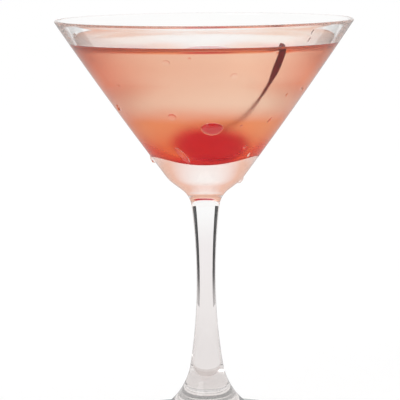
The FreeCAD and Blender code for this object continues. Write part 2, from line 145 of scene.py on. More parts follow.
def run(start: Array, end: Array, step: float) -> Array:
    """Evenly spaced points of a straight run, start + t (end - start)."""
    count = max(1, math.ceil(float(np.linalg.norm(end - start)) / step))
    return start + np.linspace(0, 1, count + 1)[:, None] * (end - start)


def chain(*parts: Array) -> Array:
    """Runs and arcs joined end to end, without the repeated points."""
    return np.vstack([parts[0]] + [part[1:] for part in parts[1:]])


def smoothstep(values: Array, low: float, high: float) -> Array:
    """0 below low, 1 above high, and 3t^2 - 2t^3 between them."""
    share = np.clip((values - low) / (high - low), 0.0, 1.0)
    return share * share * (3 - 2 * share)


# ------------------------------------------------------------------ surfaces

@dataclass(frozen=True)
class Surface:
    """A closed surface made of rings between two poles, in millimetres.

    Attributes:
        first: The pole before the first ring.
        rings: Points, as ring by place round the ring by coordinate.
        last: The pole after the last ring.
        slots: Material number of each band: pole to ring, ring to ring, and ring to pole.
    """

    first: Array
    rings: Array
    last: Array
    slots: Array | None = None

    def points(self) -> Array:
        """All points: the first pole, ring after ring, and the last pole."""
        return np.vstack([self.first[None], self.rings.reshape(-1, 3), self.last[None]])

    def faces(self) -> tuple[Array, Array, Array, Array]:
        """Corner numbers of the fan at each pole and of the quads between the rings.

        Quad (i, j) joins places j and j + 1 of rings i and i + 1, counted from ring 0.

        Returns:
            The first fan, the quads, the last fan, and the band of every face in that order.
        """
        bands, sides = self.rings.shape[:2]
        number = 1 + np.arange(bands * sides).reshape(bands, sides)
        after = np.roll(number, -1, axis=1)
        start = np.column_stack((np.zeros(sides, int), after[0], number[0]))
        quads = np.stack((number[:-1], after[:-1], after[1:], number[1:]), axis=-1)
        end = np.column_stack((np.full(sides, bands * sides + 1), number[-1], after[-1]))
        band = np.repeat(np.arange(bands + 1), sides)
        return start, quads.reshape(-1, 4), end, band

    def volume(self) -> float:
        """Signed volume, the sum over the triangles of a . (b x c) / 6."""
        points = self.points()
        start, quads, end, _ = self.faces()
        tris = np.vstack((start, quads[:, [0, 1, 2]], quads[:, [0, 2, 3]], end))
        a, b, c = (points[tris[:, k]] for k in range(3))
        return float(np.einsum("ij,ij->", a, np.cross(b, c))) / 6


def placed(name: str, data: bpy.types.ID) -> bpy.types.Object:
    """A new object with its data, linked to the scene."""
    thing = bpy.data.objects.new(name, data)
    bpy.context.scene.collection.objects.link(thing)
    return thing


def build_piece(name: str, surfaces: list[Surface]) -> bpy.types.Object:
    """Makes one smooth object of one or more closed surfaces, with faces that point outwards.

    Args:
        name: The piece's name.
        surfaces: Its surfaces, in millimetres.

    Returns:
        The object, linked to the scene, with its place in its mesh.
    """
    points: list[Array] = []
    faces: list[list[int]] = []
    slots: list[Array] = []
    base = 0
    for surface in surfaces:
        flip = -1 if surface.volume() < 0 else 1
        start, quads, end, band = surface.faces()
        for block in (start, quads, end):
            faces.extend((block[:, ::flip] + base).tolist())
        slots.append(np.zeros_like(band) if surface.slots is None else surface.slots[band])
        points.append(surface.points() * MM)
        base += len(points[-1])
    mesh = bpy.data.meshes.new(name)
    mesh.from_pydata(np.vstack(points), [], faces)
    mesh.polygons.foreach_set("use_smooth", np.ones(len(faces), bool))
    mesh.polygons.foreach_set("material_index", np.concatenate(slots).astype(np.int32))
    mesh.update()
    return placed(name, mesh)


def lathe(profile: Array, sides: int, slots: Array | None = None) -> Surface:
    """Turns a profile about the vertical axis: (r cos a, r sin a, z).

    Args:
        profile: Radius and height, from a point on the axis to a point on the axis.
        sides: Places round the axis.
        slots: Material number of each step of the profile.

    Returns:
        The closed surface.
    """
    angles = np.linspace(0, 2 * np.pi, sides, endpoint=False)
    radius, height = profile[1:-1, 0][:, None], profile[1:-1, 1][:, None]
    rings = np.stack((radius * np.cos(angles), radius * np.sin(angles),
                      np.broadcast_to(height, (len(radius), sides))), axis=-1)
    poles = (np.array([0.0, 0.0, profile[k, 1]]) for k in (0, -1))
    return Surface(next(poles), rings, next(poles), slots)


# ------------------------------------------------------------------ shaders

class Nodes:
    """A shorthand for wiring the nodes of a material, a world or a node group."""

    def __init__(self, tree: bpy.types.NodeTree) -> None:
        """Takes the tree and clears it."""
        self.tree = tree
        tree.nodes.clear()

    def add(self, kind: str, inputs: dict[str | int, object] | None = None,
            **settings: object) -> bpy.types.Node:
        """Adds a node.

        Args:
            kind: Blender's name of the node type.
            inputs: Value or source socket of each input.
            **settings: The node's own properties.

        Returns:
            The node.
        """
        node = self.tree.nodes.new(kind)
        for name, value in settings.items():
            setattr(node, name, value)
        for key, value in (inputs or {}).items():
            if isinstance(value, bpy.types.NodeSocket):
                self.tree.links.new(value, node.inputs[key])
            else:
                node.inputs[key].default_value = value
        return node

    def ramp(self, factor: bpy.types.NodeSocket,
             stops: list[tuple[float, Colour]]) -> bpy.types.NodeSocket:
        """A colour ramp with smooth steps.

        Args:
            factor: What the ramp reads, 0 to 1.
            stops: Place and colour of each stop, in order.

        Returns:
            The ramp's colour.
        """
        node = self.add("ShaderNodeValToRGB", {"Fac": factor})
        node.color_ramp.interpolation = "EASE"
        elements = node.color_ramp.elements
        while len(elements) < len(stops):
            elements.new(0.5)
        for element, (place, colour) in zip(elements, stops):
            element.position = place
            element.color = (*colour, 1.0)
        return node.outputs["Color"]

    def scaled(self, value: bpy.types.NodeSocket, low: float, high: float, to_low: float = 0.0,
               to_high: float = 1.0) -> bpy.types.NodeSocket:
        """Maps low..high of a value to to_low..to_high, and holds it there outside."""
        node = self.add("ShaderNodeMapRange", {
            "Value": value, "From Min": low, "From Max": high,
            "To Min": to_low, "To Max": to_high})
        return node.outputs["Result"]

    def mixed(self, factor: bpy.types.NodeSocket | float, first: object,
              second: object) -> bpy.types.NodeSocket:
        """Mixes two colours."""
        node = self.add("ShaderNodeMix", data_type="RGBA")
        for index, value in ((0, factor), (6, first), (7, second)):
            if isinstance(value, bpy.types.NodeSocket):
                self.tree.links.new(value, node.inputs[index])
            else:
                node.inputs[index].default_value = value if index == 0 else (*value, 1.0)
        return node.outputs[2]

    def tinted(self, factor: bpy.types.NodeSocket, colour: bpy.types.NodeSocket,
               tint: Colour) -> bpy.types.NodeSocket:
        """A colour times a tint, as far as the factor says."""
        node = self.add("ShaderNodeMix", {0: factor, 7: (*tint, 1.0)}, data_type="RGBA",
                        blend_type="MULTIPLY")
        self.tree.links.new(colour, node.inputs[6])
        return node.outputs[2]

    def computed(self, operation: str, first: bpy.types.NodeSocket | float,
                 second: bpy.types.NodeSocket | float,
                 clamp: bool = False) -> bpy.types.NodeSocket:
        """One step of arithmetic on two numbers, held within 0 and 1 where clamp is set."""
        node = self.add("ShaderNodeMath", {0: first, 1: second}, operation=operation,
                        use_clamp=clamp)
        return node.outputs[0]

    def place(self) -> bpy.types.NodeSocket:
        """The object's own coordinates, in metres."""
        return self.add("ShaderNodeTexCoord").outputs["Object"]

    def along(self, axis: str) -> bpy.types.NodeSocket:
        """One of the object's own coordinates, X, Y or Z, in metres."""
        return self.add("ShaderNodeSeparateXYZ", {"Vector": self.place()}).outputs[axis]

    def by_height(self, low: float, high: float, to_low: float = 0.0,
                  to_high: float = 1.0) -> bpy.types.NodeSocket:
        """A number that goes from to_low at one height to to_high at another."""
        return self.scaled(self.along("Z"), low * MM, high * MM, to_low, to_high)

    def slant(self) -> bpy.types.NodeSocket:
        """How slantwise the surface is met, 0 where squarely and 1 at its outline."""
        return self.add("ShaderNodeLayerWeight").outputs["Facing"]

    def inside(self) -> bpy.types.NodeSocket:
        """1 for light that meets the surface from within the piece, else 0."""
        return self.add("ShaderNodeNewGeometry").outputs["Backfacing"]


def new_material(name: str) -> tuple[bpy.types.Material, Nodes]:
    """An empty material and its nodes."""
    material = bpy.data.materials.new(name)
    material.use_nodes = True
    return material, Nodes(material.node_tree)


def relief_group() -> bpy.types.NodeTree:
    """The shared group of fine relief: noise of a given grain, stretched along the height.

    Returns:
        A group with inputs Vector, Grain and Stretch, and outputs Height and Mask.
    """
    name = "FineRelief"
    if name in bpy.data.node_groups:
        return bpy.data.node_groups[name]
    group = bpy.data.node_groups.new(name, "ShaderNodeTree")
    for socket, way, kind in (("Vector", "INPUT", "NodeSocketVector"),
                              ("Grain", "INPUT", "NodeSocketFloat"),
                              ("Stretch", "INPUT", "NodeSocketFloat"),
                              ("Height", "OUTPUT", "NodeSocketFloat"),
                              ("Mask", "OUTPUT", "NodeSocketFloat")):
        group.interface.new_socket(socket, in_out=way, socket_type=kind)
    nodes = Nodes(group)
    source = nodes.add("NodeGroupInput")
    scale = nodes.add("ShaderNodeCombineXYZ",
                      {"X": 1.0, "Y": 1.0, "Z": source.outputs["Stretch"]})
    stretched = nodes.add("ShaderNodeVectorMath", {0: source.outputs["Vector"],
                                                   1: scale.outputs["Vector"]},
                          operation="MULTIPLY")
    noise = nodes.add("ShaderNodeTexNoise", {
        "Vector": stretched.outputs["Vector"], "Scale": source.outputs["Grain"],
        "Detail": RELIEF_DETAIL, "Roughness": RELIEF_ROUGHNESS})
    mask = nodes.scaled(noise.outputs["Fac"], *RELIEF_MASK)
    nodes.add("NodeGroupOutput", {"Height": noise.outputs["Fac"], "Mask": mask})
    return group


@dataclass(frozen=True)
class Finish:
    """A finish on a Principled shader, with relief from the shared group.

    Attributes:
        name: The material's name.
        colour: Base colour, where nothing else drives it.
        roughness: Roughness, where nothing else drives it.
        ior: Index of refraction.
        transmission: Share of light that passes through.
        grain: Relief cells per metre.
        stretch: How much finer the relief is along the height.
        relief: Depth of the relief, in millimetres.
    """

    name: str
    colour: Colour = (0.8, 0.8, 0.8)
    roughness: float = 0.3
    ior: float = 1.45
    transmission: float = 0.0
    grain: float = 100.0
    stretch: float = 1.0
    relief: float = 0.0

    def start(self) -> tuple[bpy.types.Material, Nodes, bpy.types.Node, bpy.types.Node]:
        """Makes the material with its shader and its relief.

        Returns:
            The material, its nodes, the Principled shader and the relief group's node.
        """
        material, nodes = new_material(self.name)
        shader = nodes.add("ShaderNodeBsdfPrincipled", {
            "Base Color": (*self.colour, 1.0), "Roughness": self.roughness, "IOR": self.ior,
            "Transmission Weight": self.transmission})
        nodes.add("ShaderNodeOutputMaterial", {"Surface": shader.outputs["BSDF"]})
        relief = nodes.add("ShaderNodeGroup", node_tree=relief_group(), inputs={
            "Vector": nodes.place(), "Grain": self.grain, "Stretch": self.stretch})
        if self.relief:
            bump = nodes.add("ShaderNodeBump", {
                "Height": relief.outputs["Height"], "Distance": self.relief * MM,
                "Strength": 1.0})
            nodes.tree.links.new(bump.outputs["Normal"], shader.inputs["Normal"])
        return material, nodes, shader, relief

    def material(self) -> bpy.types.Material:
        """The finished material."""
        return self.start()[0]


@dataclass(frozen=True)
class ClearGlass(Finish):
    """Clear glass with a slight waviness, painted warm grey shade low down, and film near its
    rim.

    Attributes:
        film_low: Height where patches of dried film start.
        film_high: Height where they are full.
        film_roughness: Roughness of the film.
        tint_and_painted_shade: Height and colour, foot to rim, greyed low down by painted
            shade.
        height_of_all: The glass's full height.
    """

    film_low: float = 146.0
    film_high: float = 154.0
    film_roughness: float = 0.10
    tint_and_painted_shade: tuple[tuple[float, Colour], ...] = (
        (6.0, (0.86, 0.81, 0.79)), (28.0, (0.79, 0.75, 0.74)), (48.0, (0.85, 0.81, 0.80)),
        (67.0, (0.88, 0.84, 0.84)), (86.0, (0.985, 0.985, 0.98)))
    height_of_all: float = 156.5

    def material(self) -> bpy.types.Material:
        """Glass with painted grey shade by height, a little rougher in patches of film above
        the drink.
        """
        material, nodes, shader, relief = self.start()
        share = nodes.by_height(0.0, self.height_of_all)
        # Painted shade: the glass's colour turns greyer low down, on the stem and the foot;
        # only the top stop is its faint tint.
        glass_tint_and_shade = nodes.ramp(share, [(height / self.height_of_all, colour)
                                  for height, colour in self.tint_and_painted_shade])
        nodes.tree.links.new(glass_tint_and_shade, shader.inputs["Base Color"])
        patch = nodes.computed("MULTIPLY", nodes.by_height(self.film_low, self.film_high),
                               relief.outputs["Mask"])
        rough = nodes.scaled(patch, 0.0, 1.0, self.roughness, self.film_roughness)
        nodes.tree.links.new(rough, shader.inputs["Roughness"])
        return material


@dataclass(frozen=True)
class WettedGlass(Finish):
    """The bowl's inside where the cloudy drink touches it, which blurs what lies behind.

    Attributes:
        clear_roughness: Roughness in the upper layer, which is the clearer one.
        layer: Height of the layers' boundary.
        blend: Half the height over which the layers blend.
    """

    clear_roughness: float = 0.5
    layer: float = 125.5
    blend: float = 4.0

    def material(self) -> bpy.types.Material:
        """Glass against drink, rougher against the lower layer than against the upper one."""
        material, nodes, shader, _ = self.start()
        rough = nodes.by_height(self.layer - self.blend, self.layer + self.blend,
                                self.roughness, self.clear_roughness)
        nodes.tree.links.new(rough, shader.inputs["Roughness"])
        return material


@dataclass(frozen=True)
class LayeredDrink(Finish):
    """The drink against the glass: orange below, cloudy peach above, with faint swirls.

    Attributes:
        lower: Colour of the lower layer.
        middle: Colour just above it, where the upper layer is lightest.
        upper: Colour of the upper layer near the surface.
        line: Painted shade, the colour of light coming in where the drink climbs above its
            level.
        left: Painted shade that multiplies the colour on the left, fading to nothing on the
            right.
        painted_cherry_glow: A painted red glow of the cherry round its foot, seen through the
            drink.
        slant: Painted shade that multiplies the colour where it is seen slantwise through the
            glass.
        pale: Painted light, a pale colour for light already mirrored or scattered inside the
            glass.
        pale_slant: The same painted light, deeper in colour where that light meets the drink
            slantwise.
        layer: Middle of the height over which the layers blend.
        blend: Half that height.
        level: Height of the surface.
        bottom: Height of the drink's lowest point.
        line_rise: Height above the level at which the line's colour is full.
        painted_glow_radius: Radii at which the painted red glow is full and gone.
        square: Slant of the wall seen from the side, low down and high up.
        square_heights: The heights of those two.
        slant_reach: How much more slant than that starts and ends the deepening.
        pale_facing: Slants at which the pale colour starts to deepen and is deepest.
        pale_heights: Heights between which that deepening fades.
        square_exit: Slants of leaving light at which the pale colour is full and gone, since
            light that leaves so squarely came in by the surface.
        stirring: How far the layers are stirred up and down.
        swirls: Heights of the relief at which they are stirred furthest.
        sides: Left and right ends of the fade from the left's painted shade.
    """

    lower: Colour = (0.95, 0.195, 0.045)
    middle: Colour = (1.0, 0.74, 0.56)
    upper: Colour = (0.937, 0.564, 0.388)
    line: Colour = (0.62, 0.16, 0.10)
    left: Colour = (0.90, 0.70, 0.65)
    painted_cherry_glow: Colour = (0.7, 0.02, 0.04)
    slant: Colour = (0.88, 0.22, 0.10)
    pale: Colour = (1.0, 0.94, 0.91)
    pale_slant: Colour = (0.88, 0.32, 0.19)
    layer: float = 123.6
    blend: float = 4.2
    level: float = 146.6
    bottom: float = 106.4
    line_rise: float = 1.2
    painted_glow_radius: tuple[float, float] = (7.0, 11.0)
    square: tuple[float, float] = (0.46, 0.11)
    square_heights: tuple[float, float] = (110.0, 134.0)
    slant_reach: tuple[float, float] = (0.01, 0.13)
    pale_facing: tuple[float, float] = (0.10, 0.26)
    pale_heights: tuple[float, float] = (120.0, 132.0)
    square_exit: tuple[float, float] = (0.02, 0.09)
    stirring: float = 0.8
    swirls: tuple[float, float] = (0.3, 0.7)
    sides: float = 35.0

    def layers(self, nodes: Nodes, relief: bpy.types.Node) -> bpy.types.NodeSocket:
        """The colour by height, stirred a little, with a painted red cherry glow low at the
        axis.

        Args:
            nodes: The material's nodes.
            relief: The relief group's node, whose height stirs the layers.

        Returns:
            The colour.
        """
        stir = nodes.scaled(relief.outputs["Height"], *self.swirls, -self.stirring * MM,
                            self.stirring * MM)
        height = nodes.computed("ADD", nodes.along("Z"), stir)
        share = nodes.scaled(height, self.bottom * MM, self.level * MM)
        depth = self.level - self.bottom
        places = [(height - self.bottom) / depth for height in
                  (self.layer - self.blend, self.layer + self.blend,
                   self.layer + 2 * self.blend, self.level - self.blend)]
        colour = nodes.ramp(share, list(zip(places, (self.lower, self.middle, self.middle,
                                                     self.upper))))
        # Painted shade: the colour is deeper on the drink's left side than on its right.
        left_shade_share = nodes.scaled(nodes.along("X"), -self.sides * MM, self.sides * MM, 1.0, 0.0)
        left_shaded = nodes.tinted(left_shade_share, colour, self.left)
        # Painted shade: a deeper band on the front faces where the drink climbs the wall above
        # its level.
        near_top = nodes.by_height(self.level, self.level + self.line_rise)
        entering = nodes.computed("SUBTRACT", near_top, nodes.inside(), clamp=True)
        colour = nodes.mixed(entering, left_shaded, self.line)
        # Painted light: a red glow of the cherry, painted onto the drink near the axis round
        # its foot.
        place = nodes.add("ShaderNodeVectorMath", {0: nodes.place(), 1: (1.0, 1.0, 0.0)},
                          operation="MULTIPLY")
        radius = nodes.add("ShaderNodeVectorMath", {0: place.outputs["Vector"]},
                           operation="LENGTH")
        inner, outer = self.painted_glow_radius
        glow_share = nodes.scaled(radius.outputs["Value"], inner * MM, outer * MM, 1.0, 0.0)
        return nodes.mixed(glow_share, colour, self.painted_cherry_glow)

    def material(self) -> bpy.types.Material:
        """A liquid in layers, with painted shade where seen slantwise, painted pale in mirrored
        light.
        """
        material, nodes, shader, relief = self.start()
        inside, slant = nodes.inside(), nodes.slant()
        # Painted shade: the colour deepens towards the outline, where the drink is met
        # slantwise from outside.
        square = nodes.by_height(*self.square_heights, *self.square)
        more = nodes.scaled(nodes.computed("SUBTRACT", slant, square), *self.slant_reach)
        deeper = nodes.computed("SUBTRACT", more, inside, clamp=True)
        slant_shaded = nodes.tinted(deeper, self.layers(nodes, relief), self.slant)
        # Painted light: rays already mirrored or scattered in the glass, and square exits from
        # within,
        # see a pale drink instead of its colour, which brightens the glass's thick base.
        path = nodes.add("ShaderNodeLightPath")
        mirrored = nodes.computed("SUBTRACT", path.outputs["Glossy Depth"], inside, clamp=True)
        turned = nodes.computed("ADD", mirrored, path.outputs["Diffuse Depth"], clamp=True)
        below = nodes.computed("MULTIPLY", nodes.scaled(slant, *self.square_exit, 1.0, 0.0),
                               inside)
        faint = nodes.computed("MAXIMUM", turned, below)
        slanting = nodes.computed("MULTIPLY", nodes.scaled(slant, *self.pale_facing),
                                  nodes.by_height(*self.pale_heights, 1.0, 0.0))
        painted_pale_light = nodes.mixed(slanting, self.pale, self.pale_slant)
        shown = nodes.mixed(faint, slant_shaded, painted_pale_light)
        nodes.tree.links.new(shown, shader.inputs["Base Color"])
        return material


@dataclass(frozen=True)
class DrinkSurface(Finish):
    """The drink's free surface, deep in colour from above, painted shade where it climbs, else
    clear.

    Attributes:
        climb: Painted shade, the colour of light leaving where the surface climbs above its
            level.
        deep: Colour for light that comes in from high above.
        steep: Slants of incoming light at which that colour is full and gone.
        climb_heights: Heights between which the climb's colour comes in.
    """

    climb: Colour = (0.75, 0.25, 0.12)
    deep: Colour = (0.85, 0.30, 0.15)
    steep: tuple[float, float] = (0.50, 0.85)
    climb_heights: tuple[float, float] = (146.62, 147.6)

    def material(self) -> bpy.types.Material:
        """A liquid surface, with painted shade on its climb, coloured by how steeply it is
        looked into.
        """
        material, nodes, shader, _ = self.start()
        inside = nodes.inside()
        steepness = nodes.scaled(nodes.slant(), *self.steep, 1.0, 0.0)
        into = nodes.computed("SUBTRACT", steepness, inside, clamp=True)
        colour = nodes.mixed(into, self.colour, self.deep)
        # Painted shade: a deeper band where the surface climbs the wall, for light leaving from
        # within.
        leaving = nodes.computed("MULTIPLY", nodes.by_height(*self.climb_heights), inside)
        colour = nodes.mixed(leaving, colour, self.climb)
        nodes.tree.links.new(colour, shader.inputs["Base Color"])
        return material


@dataclass(frozen=True)
class PatchyFlesh(Finish):
    """Cherry skin or stalk bark, patchy between two tones.

    Attributes:
        deep: The deeper tone of the patches.
        scatter: Share of light that scatters under the skin.
        reach: How far it scatters, in millimetres.
        gloss: Specular level, low for what lies in the drink.
        root: Height below which the tone fades, and the height where the fade ends.
        faded: Tone at the low end.
    """

    deep: Colour = (0.3, 0.01, 0.01)
    scatter: float = 0.0
    reach: float = 2.0
    gloss: float = 0.04
    root: tuple[float, float] = (0.0, 1.0)
    faded: Colour = (0.8, 0.8, 0.8)

    def material(self) -> bpy.types.Material:
        """A wet skin with patches of the deeper tone."""
        material, nodes, shader, relief = self.start()
        colour = nodes.mixed(relief.outputs["Mask"], self.colour, self.deep)
        colour = nodes.mixed(nodes.by_height(*self.root, 1.0, 0.0), colour, self.faded)
        nodes.tree.links.new(colour, shader.inputs["Base Color"])
        shader.inputs["Subsurface Weight"].default_value = self.scatter
        shader.inputs["Subsurface Scale"].default_value = self.reach * MM
        shader.inputs["Specular IOR Level"].default_value = self.gloss
        return material


def dress(piece: bpy.types.Object, materials: list[bpy.types.Material],
          nodes: tuple[str, ...] = ()) -> bpy.types.Object:
    """Gives a piece its materials, its body and the solids that it stands for.

    Args:
        piece: The object.
        materials: Its materials, in order of their numbers.
        nodes: Solids that the piece replaces.

    Returns:
        The same object.
    """
    for material in materials:
        piece.data.materials.append(material)
    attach(piece, "root")
    if nodes:
        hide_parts(*nodes)
    LOG.info("%s: %d faces, stands for %s", piece.name, len(piece.data.polygons),
             ", ".join(nodes) or "no solid")
    return piece


# ------------------------------------------------------------------ the glass

@dataclass(frozen=True)
class Bowl:
    """The bowl's inside, which the glass and the drink share.

    Attributes:
        height: The glass's full height.
        rim_radius: Radius of the rim's outside.
        lip_radius: Radius of the rim's round.
        base_radius: Radius where the straight wall's line meets the floor's height.
        floor: Height of the floor's middle.
        floor_radius: Radius of the floor's hollow.
        swell_radius: Radius of the long curve between the floor and the straight wall.
        fine_step: Step of the profile that radii are read from.
    """

    height: float = 156.5
    rim_radius: float = 57.0
    lip_radius: float = 0.6
    base_radius: float = 19.0
    floor: float = 106.4
    floor_radius: float = 20.0
    swell_radius: float = 90.0
    fine_step: float = 0.5

    @property
    def lip_centre(self) -> Array:
        """Centre of the rim's round."""
        return np.array([self.rim_radius - self.lip_radius, self.height - self.lip_radius])

    def wall(self) -> tuple[Array, Array, Array]:
        """The inside wall: its point at the floor's height, its direction and its lip end."""
        base = np.array([self.base_radius, self.floor])
        reach = self.lip_centre - base
        turn = math.degrees(math.atan2(reach[1], reach[0]))
        turn += math.degrees(math.asin(self.lip_radius / float(np.linalg.norm(reach))))
        direction = polar(turn)
        return base, direction, base + direction * float(reach @ direction)

    def profile(self, step: float) -> Array:
        """The inside from the floor's middle to the lip: floor arc, long swell, straight wall.

        Args:
            step: Longest distance between neighbours.

        Returns:
            Radius and height of each point.
        """
        base, direction, lip_end = self.wall()
        inward = np.array([-direction[1], direction[0]])
        floor_centre = np.array([0.0, self.floor + self.floor_radius])
        _, swell_centre = on_line(base + inward * self.swell_radius, direction, floor_centre,
                                  self.swell_radius - self.floor_radius)
        on_wall = swell_centre - inward * self.swell_radius
        on_floor = floor_centre + unit(floor_centre - swell_centre) * self.floor_radius
        return chain(arc(floor_centre, np.array([0.0, self.floor]), on_floor, step),
                     arc(swell_centre, on_floor, on_wall, step), run(on_wall, lip_end, step))

    def radius_at(self, height: float | Array) -> Array:
        """Inside radius at a height."""
        profile = self.profile(self.fine_step)
        return np.interp(height, profile[:, 1], profile[:, 0])


@dataclass(frozen=True)
class GlassVessel:
    """Foot, drawn stem and bowl of clear glass, turned in one piece.

    Attributes:
        bowl: The bowl's inside.
        finish: The glass.
        wetted: The glass that the drink touches.
        wet_height: Height up to which it does.
        base_corner: Radius and height where the wall and the shoulder's slope would meet.
        wall_radius: Radius of the outside wall's slight bow.
        shoulder_radius: Radius of the round between wall and slope.
        shoulder_slope: Degrees at which the slope rises.
        neck_radius: Radius of the hollow between slope and stem.
        waist: Radius and height of the stem's thinnest place.
        upper_stem_radius: Radius of the stem's hollow above the waist.
        lower_stem_radius: Radius of the stem's hollow below it.
        trumpet_height: Height where the flare to the foot starts.
        trumpet_radius: Radius of the flare.
        foot_fillet: Radius of the hollow between flare and foot.
        foot_slope: Degrees at which the foot's top rises.
        foot_radius: The foot's radius.
        foot_edge: Radius of the foot's edge.
        rest_inner: Inner radius of the ring that the glass rests on.
        under_hollow: Depth of the hollow inside that ring.
        step: Step of the profile along the stem and inside the bowl.
        under_step: Step along the underside.
        slope_step: Step along the foot's slope and the wall.
        fillet_step: Step along the foot's hollow and the shoulder's slope.
        edge_step: Step round the foot's edge.
        neck_step: Step round the neck and the shoulder.
        lip_step: Step round the rim.
        wet_margin: How close to the wet line no other step may come.
        sides: Places round the axis.
    """

    bowl: Bowl
    finish: ClearGlass
    wetted: WettedGlass
    wet_height: float
    base_corner: tuple[float, float] = (13.9, 94.8)
    wall_radius: float = 1500.0
    shoulder_radius: float = 12.0
    shoulder_slope: float = 37.0
    neck_radius: float = 9.5
    waist: tuple[float, float] = (3.67, 56.0)
    upper_stem_radius: float = 248.0
    lower_stem_radius: float = 205.0
    trumpet_height: float = 23.0
    trumpet_radius: float = 25.0
    foot_fillet: float = 12.0
    foot_slope: float = 10.0
    foot_radius: float = 37.5
    foot_edge: float = 1.1
    rest_inner: float = 31.0
    under_hollow: float = 1.4
    step: float = 0.9
    under_step: float = 1.5
    slope_step: float = 1.2
    fillet_step: float = 0.6
    edge_step: float = 0.25
    neck_step: float = 0.4
    lip_step: float = 0.12
    wet_margin: float = 0.2
    sides: int = 272

    def foot_profile(self) -> Array:
        """Underside and foot up to the waist: hollow, resting ring, edge, slope, two hollows.

        Returns:
            Radius and height, from the axis to the waist.
        """
        hollow = (self.rest_inner ** 2 + self.under_hollow ** 2) / (2 * self.under_hollow)
        under = np.array([0.0, self.under_hollow])
        ring = np.array([self.rest_inner, 0.0])
        edge = np.array([self.foot_radius - self.foot_edge, self.foot_edge])
        edge_low, edge_out = np.array([edge[0], 0.0]), np.array([self.foot_radius, edge[1]])
        up, inward = polar(90 - self.foot_slope), polar(180 - self.foot_slope)
        edge_high = edge + up * self.foot_edge
        waist = np.array(self.waist)
        stem = waist + np.array([self.lower_stem_radius, 0.0])
        lean = math.degrees(math.asin((self.waist[1] - self.trumpet_height)
                                      / self.lower_stem_radius))
        flare_top = stem - polar(lean) * self.lower_stem_radius
        flare = flare_top + polar(lean) * self.trumpet_radius
        root, _ = on_line(edge_high + up * self.foot_fillet, -inward, flare,
                          self.trumpet_radius - self.foot_fillet)
        root_low = root - up * self.foot_fillet
        root_high = flare + unit(root - flare) * self.trumpet_radius
        return chain(
            arc(np.array([0.0, self.under_hollow - hollow]), under, ring, self.under_step),
            run(ring, edge_low, self.under_step),
            arc(edge, edge_low, edge_out, self.edge_step),
            arc(edge, edge_out, edge_high, self.edge_step),
            run(edge_high, root_low, self.slope_step),
            arc(root, root_low, root_high, self.fillet_step),
            arc(flare, root_high, flare_top, self.step),
            arc(stem, flare_top, waist, self.step))

    def bowl_profile(self) -> Array:
        """Stem above the waist, neck, shoulder, bowed wall and lip, to the inside wall.

        Returns:
            Radius and height, from the waist to the lip's inner end.
        """
        waist = np.array(self.waist)
        stem = waist + np.array([self.upper_stem_radius, 0.0])
        corner = np.array(self.base_corner)
        slope = polar(self.shoulder_slope)
        below = np.array([slope[1], -slope[0]])
        neck, _ = on_line(corner + below * self.neck_radius, slope, stem,
                          self.upper_stem_radius - self.neck_radius)
        neck_low = stem + unit(neck - stem) * self.upper_stem_radius
        neck_high = neck - below * self.neck_radius
        lip = self.bowl.lip_centre
        wall, _ = crossings(corner, self.wall_radius, lip,
                            self.wall_radius - self.bowl.lip_radius)
        _, turn = on_line(corner - below * self.shoulder_radius, slope, wall,
                          self.wall_radius - self.shoulder_radius)
        turn_low = turn + below * self.shoulder_radius
        turn_high = wall + unit(turn - wall) * self.wall_radius
        lip_out = wall + unit(lip - wall) * self.wall_radius
        lip_top = lip + np.array([0.0, self.bowl.lip_radius])
        _, _, lip_in = self.bowl.wall()
        return chain(
            arc(stem, waist, neck_low, self.step),
            arc(neck, neck_low, neck_high, self.neck_step),
            run(neck_high, turn_low, self.fillet_step),
            arc(turn, turn_low, turn_high, self.neck_step),
            arc(wall, turn_high, lip_out, self.slope_step),
            arc(lip, lip_out, lip_top, self.lip_step),
            arc(lip, lip_top, lip_in, self.lip_step))

    def outside(self) -> Array:
        """Height and radius of the outside, from the foot's edge up to the rim."""
        profile = np.vstack((self.foot_profile(), self.bowl_profile()[1:]))
        keep = profile[:, 1] >= self.foot_edge
        rising = profile[keep][: int(np.argmax(profile[keep][:, 1]))]
        return rising[:, ::-1]

    def build(self) -> bpy.types.Object:
        """Turns the whole outline and dresses it.

        Returns:
            The glass.
        """
        inside = self.bowl.profile(self.step)
        edge = np.array([float(self.bowl.radius_at(self.wet_height)), self.wet_height])
        wet = np.vstack((inside[inside[:, 1] < self.wet_height - self.wet_margin], [edge]))
        dry = np.vstack(([edge], inside[inside[:, 1] > self.wet_height + self.wet_margin]))
        profile = chain(self.foot_profile(), self.bowl_profile(), dry[::-1], wet[::-1])
        slots = (np.arange(len(profile) - 1) >= len(profile) - len(wet)).astype(np.int32)
        piece = build_piece("cocktail_glass", [lathe(profile, self.sides, slots)])
        return dress(piece, [self.finish.material(), self.wetted.material()],
                     ("glass",))


# ------------------------------------------------------------------ the cherry and its stalk

